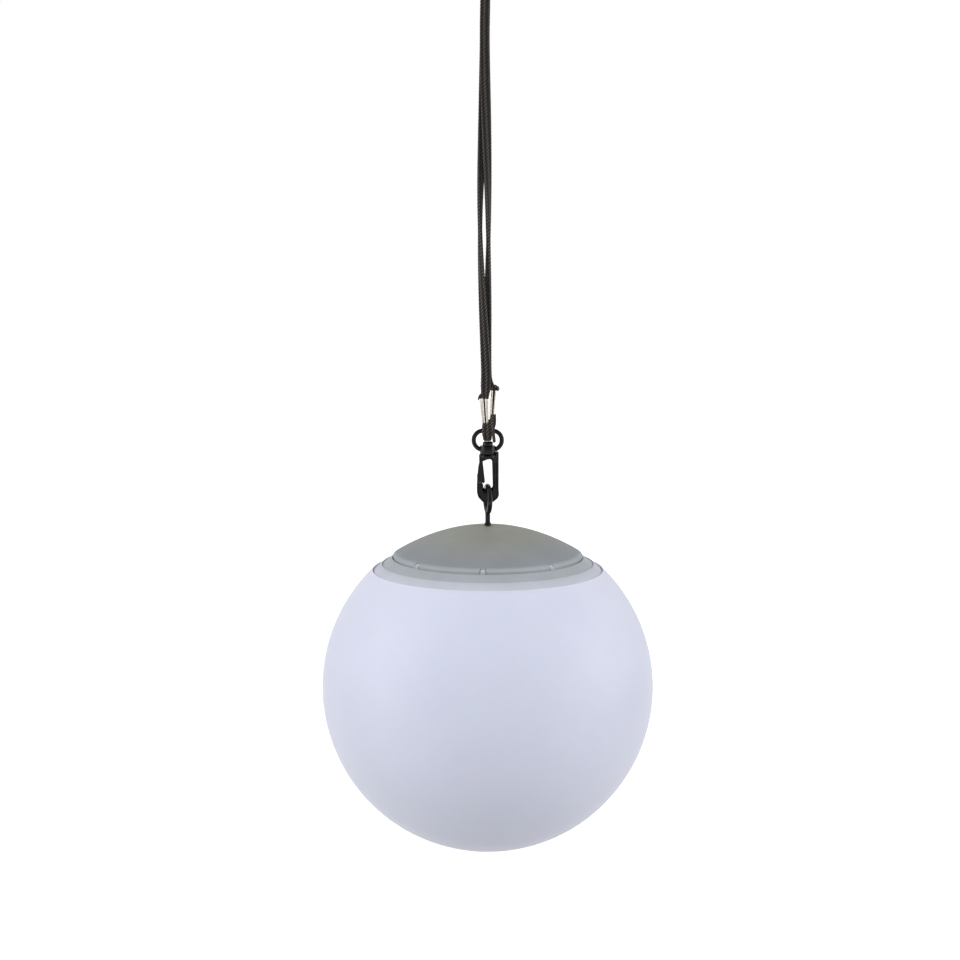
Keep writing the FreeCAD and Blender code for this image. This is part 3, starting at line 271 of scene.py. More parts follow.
def turned(profile: np.ndarray, columns: int, closed: bool = True) -> Shell:
    """Surface of revolution about the upright axis.

    Formula: as in lathe, with the same radius and height at every angle.

    Args:
        profile: Pairs of radius and height.
        columns: Steps round the axis.
        closed: Whether the profile returns to its start. If not, its ends lie near the axis.

    Returns:
        The closed surface.
    """
    angle = np.linspace(0, 2 * np.pi, columns, endpoint=False)
    return skin(lathe([(profile[:, :1], profile[:, 1:2])], angle), rows_go_round=closed)


def lathe(rows: list[tuple], angle: np.ndarray) -> np.ndarray:
    """Grid of points round an upright axis.

    Formula: x = r sin(angle), y = -r cos(angle), for radii and heights that may differ from angle
    to angle.

    Args:
        rows: Pairs of arrays, radius and height, each of shape (rows, 1) or (rows, angles).
        angle: Angles round the axis.

    Returns:
        The grid, shape (rows, angles, 3).
    """
    radius, height = (
        np.vstack([np.broadcast_to(part[side], (len(part[side]), len(angle))) for part in rows])
        for side in (0, 1))
    return np.stack([radius * np.sin(angle), -radius * np.cos(angle), height], -1)


def carried(path: np.ndarray, across: np.ndarray, section: np.ndarray,
            rows_go_round: bool = False, uv: np.ndarray | None = None,
            crown: np.ndarray | None = None) -> Shell:
    """Carry a section along a path.

    Formula: a point of the section is path + u * across + v * (tangent x across), where across is
    first made square to the path's tangent.

    Args:
        path: Points of the middle line, shape (n, 3).
        across: Direction of the section's first coordinate, shape (3,) or (n, 3).
        section: Pairs, shape (m, 2), or shape (n, m, 2) where it changes on the way.
        rows_go_round: Whether the path returns to its first point.
        uv: Pairs for the pattern, or None.
        crown: Height of the strands, or None.

    Returns:
        The closed surface.
    """
    if rows_go_round:
        tangent = np.roll(path, -1, axis=0) - np.roll(path, 1, axis=0)
    else:
        tangent = np.gradient(path, axis=0)
    tangent = tangent / np.linalg.norm(tangent, axis=1, keepdims=True)
    wide = np.broadcast_to(across, path.shape)
    wide = wide - tangent * (wide * tangent).sum(axis=1, keepdims=True)
    wide = wide / np.linalg.norm(wide, axis=1, keepdims=True)
    thick = np.cross(tangent, wide)
    pairs = np.broadcast_to(section, (len(path),) + section.shape[-2:])
    grid = path[:, None] + pairs[..., :1] * wide[:, None] + pairs[..., 1:] * thick[:, None]
    return skin(grid, rows_go_round, uv, crown)


def block(width: float, low: float, high: float, near: float, far: float,
          radius: float = 0.3, turn: float = 0.0, aside: float = 0.0) -> Shell:
    """Small block with rounded edges, between two distances from the upright axis.

    Formula: a rounded rectangle is shrunk towards its middle as a quarter circle over the
    radius at its lower and upper end, moved aside, and then turned about the axis.

    Args:
        width: Its size across.
        low: Height of its lower end.
        high: Height of its upper end.
        near: Distance of its inner side from the axis.
        far: Distance of its outer side.
        radius: Rounding of its edges.
        turn: Degrees about the axis, from the front.
        aside: How far it stands beside the ray it faces.

    Returns:
        The closed surface.
    """
    half = width / 2
    middle = (near + far) / 2
    deep = abs(far - near) / 2
    ring = resample(rounded([(-half, -deep, radius), (half, -deep, radius),
                             (half, deep, radius), (-half, deep, radius)]), 36, closed=True)
    bend = np.linspace(0, np.pi / 2, 5)
    inset = radius * (1 - np.sin(bend))
    levels = np.concatenate([low + radius * (1 - np.cos(bend)),
                             high - radius * (1 - np.cos(bend[::-1]))])
    insets = np.concatenate([inset, inset[::-1]])
    reach = np.array([half, deep])
    pairs = ring[None] * ((reach - insets[:, None]) / reach)[:, None, :]
    angle = math.radians(turn)
    x = pairs[..., 0] + aside
    y = pairs[..., 1] - middle
    grid = np.stack([x * math.cos(angle) - y * math.sin(angle),
                     x * math.sin(angle) + y * math.cos(angle),
                     np.broadcast_to(levels[:, None], x.shape)], -1)
    return skin(grid)


def make_piece(name: str, shells: list[Shell], finish: bpy.types.Material, body: Body,
               replaces: tuple[str, ...], sharp: float = 40.0) -> bpy.types.Object:
    """Turn shells into one finished piece on a body.

    Args:
        name: Name of the piece.
        shells: Its closed surfaces, in millimetres.
        finish: Its material.
        body: The body it rides on.
        replaces: CAD nodes it stands for.
        sharp: Angle, in degrees, from which an edge stays crisp.

    Returns:
        The object, at the origin, with its place in its mesh.
    """
    whole = join(shells)
    mesh = bpy.data.meshes.new(name)
    faces = whole.quads.tolist() + whole.triangles.tolist()
    mesh.from_pydata((whole.points * MM).tolist(), [], faces)
    layer = mesh.uv_layers.new(name="pattern")
    corners = np.concatenate([whole.quad_uv.reshape(-1, 2), whole.triangle_uv.reshape(-1, 2)])
    layer.data.foreach_set("uv", corners.astype(np.float32).ravel())
    crown = mesh.attributes.new("crown", "FLOAT", "POINT")
    crown.data.foreach_set("value", whole.crown.astype(np.float32))
    mesh.polygons.foreach_set("use_smooth", np.ones(len(mesh.polygons), bool))
    mesh.set_sharp_from_angle(angle=math.radians(sharp))
    mesh.materials.append(finish)
    mesh.update()
    piece = bpy.data.objects.new(name, mesh)
    bpy.context.scene.collection.objects.link(piece)
    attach(piece, body.value)
    if replaces:
        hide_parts(*replaces)
    LOG.info("%s: %d vertices on %s", name, len(whole.points), body.value)
    return piece


# ---- Materials ----------------------------------------------------------------------------


def linear(colour: str) -> tuple[float, float, float, float]:
    """Turn an sRGB hex colour into the linear values that nodes expect.

    Args:
        colour: The colour as # and six hex digits.

    Returns:
        Red, green, blue and an alpha of 1.
    """
    channels = np.array([int(colour[start:start + 2], 16) / 255 for start in (1, 3, 5)])
    values = np.where(channels <= 0.04045, channels / 12.92, ((channels + 0.055) / 1.055) ** 2.4)
    return (float(values[0]), float(values[1]), float(values[2]), 1.0)


def add(tree: bpy.types.NodeTree, kind: str, inputs: dict | None = None,
        stops: list[tuple[float, str]] | None = None, **settings) -> bpy.types.Node:
    """Add one node with its settings, its values and its links.

    Args:
        tree: The material's or the world's nodes.
        kind: Name of the node's type, without ShaderNode in front.
        inputs: Values or sockets by the name or number of the input they go to.
        stops: Places and sRGB hex colours of a colour ramp.
        **settings: Properties of the node itself.

    Returns:
        The node.
    """
    node = tree.nodes.new("ShaderNode" + kind)
    for name, value in settings.items():
        setattr(node, name, value)
    for name, value in (inputs or {}).items():
        if isinstance(value, bpy.types.NodeSocket):
            tree.links.new(value, node.inputs[name])
        else:
            node.inputs[name].default_value = value
    if stops:
        elements = node.color_ramp.elements
        while len(elements) < len(stops):
            elements.new(0.5)
        for element, (place, colour) in zip(elements, stops):
            element.position = place
            element.color = linear(colour)
    return node


@dataclass(frozen=True)
class Finish:
    """What every finish starts from: a named material and its shader's own plain values."""

    name: str

    def begin(self, colour: str, **values: float) -> tuple:
        """Start the material with a shader, and Object coordinates counted in millimetres.

        Args:
            colour: The shader's plain colour, also in the viewport.
            **values: Values of the shader's inputs, with _ for a space.

        Returns:
            The material, its nodes, its shader, and the socket of the coordinates.
        """
        material = bpy.data.materials.new(self.name)
        material.use_nodes = True
        material.diffuse_color = linear(colour)
        tree = material.node_tree
        shader = tree.nodes["Principled BSDF"]
        shader.inputs["Base Color"].default_value = linear(colour)
        for name, value in values.items():
            shader.inputs[name.replace("_", " ")].default_value = value
        coordinates = add(tree, "TexCoord")
        place = add(tree, "Mapping", {"Vector": coordinates.outputs["Object"],
                                      "Scale": (1 / MM, 1 / MM, 1 / MM)})
        return material, tree, shader, place.outputs["Vector"]

    def connect(self, shader: bpy.types.Node, **sources: bpy.types.NodeSocket) -> None:
        """Link each source to the shader's input of its name, with _ for a space."""
        for name, source in sources.items():
            shader.id_data.links.new(source, shader.inputs[name.replace("_", " ")])


@dataclass(frozen=True)
class BraidedPolyester(Finish):
    """Woven polyester yarn: matt strands with a painted highlight on their crowns and painted shade
    in the gaps between.
    """

    # gap is painted shade between the strands, crown a painted highlight on them, side the yarn's
    # own colour
    gap: str = "#0a0909"
    side: str = "#2f2b28"
    crown: str = "#827a73"
    yarn_mm: float = 0.34     # real yarns are 0.1 mm; drawn as coarse as they need to show
    yarn_depth_mm: float = 0.2

    def build(self) -> bpy.types.Material:
        """Colour by the strands' height, as painted shade in the gaps and a painted highlight on
        the crowns, flecked by yarn, with yarn as bump and a soft sheen.

        Returns:
            The material.
        """
        material, tree, shader, _ = self.begin(self.side, Roughness=0.85, Sheen_Weight=0.15,
                                               Sheen_Roughness=0.5, Specular_IOR_Level=0.2)
        height = add(tree, "Attribute", attribute_name="crown")
        # painted shade in the gaps, the yarn's own colour on the sides, a painted highlight on the
        # crowns
        ramp = add(tree, "ValToRGB", {"Fac": height.outputs["Fac"]},
                   [(0.2, self.gap), (0.66, self.side), (1.0, self.crown)])
        pattern = add(tree, "UVMap", uv_map="pattern")
        fleck = add(tree, "TexNoise", {"Vector": pattern.outputs["UV"], "Scale": 1 / self.yarn_mm,
                                       "Detail": 3.0, "Roughness": 0.6})
        shade = add(tree, "ValToRGB", {"Fac": fleck.outputs["Fac"]},
                    [(0.3, "#a8a8a8"), (0.7, "#ffffff")])
        colour = add(tree, "Mix", {0: 1.0, 6: ramp.outputs["Color"], 7: shade.outputs["Color"]},
                     data_type="RGBA", blend_type="MULTIPLY")
        bump = add(tree, "Bump", {"Height": fleck.outputs["Fac"], "Strength": 0.5,
                                  "Distance": self.yarn_depth_mm * MM})
        self.connect(shader, Base_Color=colour.outputs[2], Normal=bump.outputs["Normal"])
        return material


@dataclass(frozen=True)
class MouldedPlastic(Finish):
    """Injection-moulded plastic: even colour, faint flow marks and a fine spark-eroded grain."""

    colour: str = "#0b0b0b"
    flow: str = "#111111"
    roughness: float = 0.35
    grain_mm: float = 0.25
    grain_depth_mm: float = 0.01
    flow_mm: float = 6.0
    ior: float = 1.5

    def build(self) -> bpy.types.Material:
        """Two near colours mixed by wide flow marks, and grain in the bump and the gloss.

        Returns:
            The material.
        """
        material, tree, shader, place = self.begin(self.colour, IOR=self.ior)
        marks = add(tree, "TexNoise", {"Vector": place, "Scale": 1 / self.flow_mm, "Detail": 2.0})
        tint = add(tree, "ValToRGB", {"Fac": marks.outputs["Fac"]},
                   [(0.35, self.colour), (0.65, self.flow)])
        grain = add(tree, "TexNoise", {"Vector": place, "Scale": 1 / self.grain_mm, "Detail": 2.0})
        gloss = add(tree, "MapRange", {"Value": marks.outputs["Fac"],
                                       "To Min": self.roughness * 0.85,
                                       "To Max": self.roughness * 1.15})
        bump = add(tree, "Bump", {"Height": grain.outputs["Fac"], "Strength": 0.6,
                                  "Distance": self.grain_depth_mm * MM})
        self.connect(shader, Base_Color=tint.outputs["Color"], Roughness=gloss.outputs["Result"],
                     Normal=bump.outputs["Normal"])
        return material


@dataclass(frozen=True)
class WorkedMetal(Finish):
    """Drawn, rolled or turned metal: a bright coat with fine lines along the way it was worked."""

    colour: str = "#d9d5cf"
    worn: str = "#b9b5ae"
    roughness: float = 0.2
    metallic: float = 1.0
    line_mm: float = 0.22
    line_depth_mm: float = 0.006
    along: Along = Along.EVEN

    def build(self) -> bpy.types.Material:
        """Two near tones and the gloss follow the same stretched lines, which also bump it.

        Returns:
            The material.
        """
        material, tree, shader, place = self.begin(self.colour, Metallic=self.metallic)
        stretch = add(tree, "Mapping", {"Vector": place, "Scale": self.along.value})
        lines = add(tree, "TexNoise", {"Vector": stretch.outputs["Vector"],
                                       "Scale": 1 / self.line_mm, "Detail": 3.0})
        tone = add(tree, "ValToRGB", {"Fac": lines.outputs["Fac"]},
                   [(0.3, self.worn), (0.62, self.colour)])
        gloss = add(tree, "MapRange", {"Value": lines.outputs["Fac"],
                                       "To Min": self.roughness * 1.4,
                                       "To Max": self.roughness * 0.7})
        bump = add(tree, "Bump", {"Height": lines.outputs["Fac"], "Strength": 0.6,
                                  "Distance": self.line_depth_mm * MM})
        self.connect(shader, Base_Color=tone.outputs["Color"], Roughness=gloss.outputs["Result"],
                     Normal=bump.outputs["Normal"])
        return material


@dataclass(frozen=True)
class OpalPolyethylene(Finish):
    """Rotation-moulded opal polyethylene: satin, milky, with a slight cool tint."""

    colour: str = "#dcdef0"
    cloud: str = "#d9dbee"
    cloud_mm: float = 55.0
    texture_mm: float = 0.7
    texture_depth_mm: float = 0.03

    def build(self) -> bpy.types.Material:
        """Very faint wide clouds in the wall, a shallow satin texture, and some light let in.

        Returns:
            The material.
        """
        material, tree, shader, place = self.begin(
            self.colour, Roughness=0.42, IOR=1.5, Specular_IOR_Level=0.35,
            Subsurface_Weight=0.2, Subsurface_Scale=0.006)
        clouds = add(tree, "TexNoise", {"Vector": place, "Scale": 1 / self.cloud_mm, "Detail": 2.0})
        tint = add(tree, "ValToRGB", {"Fac": clouds.outputs["Fac"]},
                   [(0.35, self.cloud), (0.65, self.colour)])
        texture = add(tree, "TexNoise", {"Vector": place, "Scale": 1 / self.texture_mm,
                                         "Detail": 3.0})
        bump = add(tree, "Bump", {"Height": texture.outputs["Fac"], "Strength": 0.25,
                                  "Distance": self.texture_depth_mm * MM})
        self.connect(shader, Base_Color=tint.outputs["Color"], Normal=bump.outputs["Normal"])
        return material


@dataclass(frozen=True)
class FrostedBands(Finish):
    """Frosted plastic whose colour changes with the distance from the upright axis.

    What lies under it shows through as a tint: the panel under the dome, and under the collar's
    inner band the gap and the housing, whose darker tint is painted shade. Lighter stops at the
    dome's edge and at the collar's light line beside it are painted highlights.
    """

    stops_mm: tuple[tuple[float, str], ...]
    roughness: float = 0.6
    frost_mm: float = 0.4
    frost_depth_mm: float = 0.04
    cloud_mm: float = 18.0
    reach_mm: float = 80.0    # distance at the ramp's end

    def build(self) -> bpy.types.Material:
        """A ramp over the distance from the axis, clouded a little, with etched frost as bump.

        Returns:
            The material.
        """
        material, tree, shader, place = self.begin(self.stops_mm[0][1], Roughness=self.roughness,
                                                   IOR=1.49, Specular_IOR_Level=0.3)
        flat = add(tree, "VectorMath", {0: place, 1: (1 / self.reach_mm, 1 / self.reach_mm, 0.0)},
                   operation="MULTIPLY")
        away = add(tree, "VectorMath", {0: flat.outputs["Vector"]}, operation="LENGTH")
        ramp = add(tree, "ValToRGB", {"Fac": away.outputs["Value"]},
                   [(distance / self.reach_mm, colour) for distance, colour in self.stops_mm])
        cloud = add(tree, "TexNoise", {"Vector": place, "Scale": 1 / self.cloud_mm,
                                       "Detail": 2.0})
        veil = add(tree, "ValToRGB", {"Fac": cloud.outputs["Fac"]},
                   [(0.3, "#f6f6f4"), (0.7, "#ffffff")])
        colour = add(tree, "Mix", {0: 1.0, 6: ramp.outputs["Color"], 7: veil.outputs["Color"]},
                     data_type="RGBA", blend_type="MULTIPLY")
        frost = add(tree, "TexNoise", {"Vector": place, "Scale": 1 / self.frost_mm, "Detail": 3.0})
        bump = add(tree, "Bump", {"Height": frost.outputs["Fac"], "Strength": 0.4,
                                  "Distance": self.frost_depth_mm * MM})
        self.connect(shader, Base_Color=colour.outputs[2], Normal=bump.outputs["Normal"])
        return material


@dataclass(frozen=True)
class SoftRubber(Finish):
    """Moulded rubber or silicone: dull, with a powdery bloom."""

    colour: str = "#161616"
    bloom: str = "#222222"
    roughness: float = 0.7
    patch_mm: float = 3.0
    pebble_mm: float = 0.5
    pebble_depth_mm: float = 0.03

    def build(self) -> bpy.types.Material:
        """Bloom in patches of a few millimetres over an even colour, and a pebbled skin.

        Returns:
            The material.
        """
        material, tree, shader, place = self.begin(self.colour, Roughness=self.roughness, IOR=1.45)
        patches = add(tree, "TexNoise", {"Vector": place, "Scale": 1 / self.patch_mm,
                                         "Detail": 4.0})
        tint = add(tree, "ValToRGB", {"Fac": patches.outputs["Fac"]},
                   [(0.4, self.colour), (0.75, self.bloom)])
        pebbles = add(tree, "TexVoronoi", {"Vector": place, "Scale": 1 / self.pebble_mm})
        bump = add(tree, "Bump", {"Height": pebbles.outputs["Distance"], "Strength": 0.3,
                                  "Distance": self.pebble_depth_mm * MM})
        self.connect(shader, Base_Color=tint.outputs["Color"], Normal=bump.outputs["Normal"])
        return material


@dataclass(frozen=True)
class PrintedCells(Finish):
    """Solar cells or a circuit board: fine lines on a grid under a clear glossy coat."""

    ground: str = "#0a1330"
    line: str = "#a9aeb8"
    patch: str = "#101d44"
    line_step_mm: float = 2.5
    line_share: float = 0.08
    roughness: float = 0.12
    patch_mm: float = 4.0
    line_depth_mm: float = 0.03

    def build(self) -> bpy.types.Material:
        """Crystal patches for the ground, straight lines by Wave at their real spacing, a coat.

        Returns:
            The material.
        """
        material, tree, shader, place = self.begin(self.ground, Roughness=self.roughness,
                                                   Coat_Weight=0.6, Coat_Roughness=0.08)
        crystals = add(tree, "TexVoronoi", {"Vector": place, "Scale": 1 / self.patch_mm})
        ground = add(tree, "ValToRGB", {"Fac": crystals.outputs["Color"]},
                     [(0.2, self.ground), (0.8, self.patch)])
        scale = math.pi / 10 / self.line_step_mm   # the node's own wave is pi / 10 long
        waves = add(tree, "TexWave", {"Vector": place, "Scale": scale},
                    wave_type="BANDS", bands_direction="X")
        on_line = add(tree, "MapRange", {"Value": waves.outputs["Fac"],
                                         "From Min": 1 - self.line_share, "From Max": 1.0})
        colour = add(tree, "Mix", {0: on_line.outputs["Result"], 6: ground.outputs["Color"],
                                   7: linear(self.line)}, data_type="RGBA")
        bump = add(tree, "Bump", {"Height": on_line.outputs["Result"], "Strength": 0.2,
                                  "Distance": self.line_depth_mm * MM})
        self.connect(shader, Base_Color=colour.outputs[2], Normal=bump.outputs["Normal"])
        return material


# ---- Cord and its ends --------------------------------------------------------------------


@dataclass(frozen=True)
class Braid:
    """Two-over-two braid of strands that cross on the slant."""

    column: float = 1.53      # width of one column of slanted flecks
    pitch: float = 2.1        # from fleck to fleck along the cord
    relief: float = 0.24      # how far a strand stands above the gaps
    # in the cord's finish the lower slant also comes out darker: a painted difference in sheen
    # between the two slants
    pressed: float = 0.77     # height of the strands of one slant beside the other's

    def crown(self, around: np.ndarray, along: np.ndarray) -> np.ndarray:
        """Height of the strands, from 0 in a gap to 1 on a crown.

        Formula: a place is counted in strands of the two slants, a = x/column + z/pitch and
        b = x/column - z/pitch. Where floor(a) + floor(b) leaves 0 or 1 when divided by 4, the
        second slant lies on top, and elsewhere the first. The upper strand stands as a parabola
        across its own width, a little lower on the first slant.

        Args:
            around: Millimetres round the cord.
            along: Millimetres along it.

        Returns:
            The heights, in the shape that both arguments broadcast to.
        """
        first = around / self.column + along / self.pitch
        second = around / self.column - along / self.pitch
        falling = (np.floor(first) + np.floor(second)) % 4 < 2
        upper = np.where(falling, second, first) % 1.0
        # the cord's finish reads these heights as colour, so gaps and the lower slant get painted
        # shade and crowns a painted highlight
        return np.where(falling, 1.0, self.pressed) * (1 - (2 * upper - 1) ** 2)


def braided(path: np.ndarray, across: np.ndarray, width: np.ndarray, thickness: np.ndarray,
            braid: Braid, columns: int) -> Shell:
    """Flat braid along a path.

    Formula: the section is a flat rounded bar, scaled to the width and thickness at each station
    and sunk along its own normal by relief * (1 - crown). The pattern repeats a whole number of
    times round it.

    Args:
        path: Even points of the middle line, shape (n, 3).
        across: Direction of the width, shape (3,) or (n, 3).
        width: Width at each point.
        thickness: Thickness at each point.
        braid: The pattern.
        columns: Points round the section.

    Returns:
        The closed surface, with the pattern's millimetres as its uv.
    """
    broad = float(np.median(width))
    thin = float(np.median(thickness))
    corner = 0.46 * thin
    ring = resample(rounded([(-broad / 2, -thin / 2, corner), (broad / 2, -thin / 2, corner),
                             (broad / 2, thin / 2, corner), (-broad / 2, thin / 2, corner)],
                            steps=12), columns, closed=True)
    side = np.roll(ring, -1, axis=0) - np.roll(ring, 1, axis=0)
    normal = np.stack([side[:, 1], -side[:, 0]], -1)
    normal = normal / np.linalg.norm(normal, axis=1, keepdims=True)
    girth = np.linalg.norm(ring - np.roll(ring, 1, axis=0), axis=1).sum()
    pairs_of_columns = max(1, round(girth / (2 * braid.column)))
    around = np.arange(columns + 1) / columns * pairs_of_columns * 2 * braid.column
    steps = np.linalg.norm(np.diff(path, axis=0), axis=1)
    along = np.concatenate([[0], np.cumsum(steps)])
    crown = braid.crown(around[None, :columns], along[:, None])
    scale = np.stack([width / broad, thickness / thin], -1)[:, None]
    section = ring[None] * scale - normal[None] * (braid.relief * (1 - crown))[..., None]
    uv = np.stack(np.broadcast_arrays(around[None, :], along[:, None]), -1)
    return carried(path, across, section, uv=uv, crown=crown)


def spline_line(name: str, controls: np.ndarray) -> np.ndarray:
    """Points of the smooth NURBS line that has the given control points.

    Args:
        name: Name of the curve while it exists.
        controls: Control points, shape (n, 3), in millimetres.

    Returns:
        Points of the line, in millimetres.
    """
    curve = bpy.data.curves.new(name, "CURVE")
    curve.dimensions = "3D"
    curve.resolution_u = 40
    spline = curve.splines.new("NURBS")
    spline.points.add(len(controls) - 1)
    weighted = np.column_stack([controls * MM, np.ones(len(controls))])
    spline.points.foreach_set("co", weighted.astype(np.float32).ravel())
    spline.order_u = 3
    spline.use_endpoint_u = True
    holder = bpy.data.objects.new(name, curve)
    mesh = bpy.data.meshes.new_from_object(holder)
    points = np.zeros(len(mesh.vertices) * 3, np.float32)
    mesh.vertices.foreach_get("co", points)
    bpy.data.meshes.remove(mesh)
    bpy.data.objects.remove(holder)
    bpy.data.curves.remove(curve)
    return points.reshape(-1, 3).astype(float) / MM


# The doubled cord's route, in metres: the part's points, moved by up to a few millimetres where the
# legs cross and enter the crimps.
CORD_ROUTE = [
    (-0.0017, -0.0019, -0.2500), (-0.0012, -0.0018, -0.2410), (-0.0011, -0.0016, -0.2329),
    (-0.0018, -0.0015, -0.2170), (-0.0031, -0.0011, -0.1920), (-0.0047, -0.0002, -0.1550),
    (-0.0046, 0.0003, -0.1252), (-0.0029, 0.00165, -0.0838), (-0.0020, 0.00175, -0.0486),
    (-0.0018, 0.0021, -0.0310), (-0.0016, 0.0047, -0.0195), (-0.0015, 0.00535, -0.0105),
    (-0.0015, 0.00535, 0.00135), (-0.0015, -0.00535, 0.00135), (-0.0015, -0.00535, -0.0105),
    (-0.0017, -0.0047, -0.0195), (-0.0019, -0.0021, -0.0310), (-0.0017, -0.00175, -0.0486),
    (-0.0009, -0.00165, -0.0838), (0.0001, -0.0003, -0.1252), (0.0004, 0.0002, -0.1550),
    (0.0000, 0.0013, -0.1920), (-0.0006, 0.00165, -0.2170), (-0.0007, 0.0021, -0.2329),
    (-0.0004, 0.0027, -0.2395), (0.0012, 0.0035, -0.2428), (0.0031, 0.0041, -0.2462),
]


@dataclass
class HangingCord:
    """The doubled flat cord, from one crimp over the bight to the other crimp."""

    width: float = 6.0
    thickness: float = 2.7
    length: float = 506.0
    twist_bottom: float = -249.0
    twist_tops: tuple[float, float] = (-49.0, -62.0)      # in the front and in the rear leg
    drawn_in: float = 0.7     # share of the width where the cord enters a crimp
    squeezed: float = 0.9     # and share of the thickness
    squeeze_reach: float = 6.0
    draw_reach: float = 7.0   # how far from the crimp the cord has its full width again
    stations: int = 1500
    columns: int = 48
    braid: Braid = field(default_factory=Braid)

    def across(self, path: np.ndarray) -> np.ndarray:
        """Direction of the width: each leg turns half round from its crimp up to its own height.

        Args:
            path: Points of the middle line, shape (n, 3).

        Returns:
            A direction for each point, shape (n, 3).
        """
        leg = (np.arange(len(path)) > len(path) // 2).astype(int)
        top = np.array(self.twist_tops)[leg]
        share = (path[:, 2] - self.twist_bottom) / (top - self.twist_bottom)
        turn = np.pi * np.clip(share, 0, 1)
        return np.stack([np.cos(turn), -np.sin(turn), np.zeros(len(path))], -1)

    def build(self, finish: bpy.types.Material) -> bpy.types.Object:
        """Carry the braid along the route's spline, drawn in where it enters the crimps.

        Args:
            finish: The braid's material.

        Returns:
            The cord's object.
        """
        line = spline_line("cord_route", np.array(CORD_ROUTE) / MM)
        path = resample(line, self.stations)
        near_end = np.minimum(np.arange(self.stations), np.arange(self.stations)[::-1])
        from_end = near_end * self.length / self.stations
        width = self.width * (self.drawn_in + (1 - self.drawn_in)
                              * np.clip(from_end / self.draw_reach, 0, 1) ** 0.7)
        thickness = self.thickness * (self.squeezed + (1 - self.squeezed)
                                      * np.clip(from_end / self.squeeze_reach, 0, 1))
        shell = braided(path, self.across(path), width, thickness, self.braid, self.columns)
        piece = make_piece("hanging_cord_braid", [shell], finish, Body.CORD, ("hanging_cord",),
                           sharp=180.0)
        return piece


class End(Enum):
    """The two ends of the cord."""

    FRONT = "front"
    REAR = "rear"


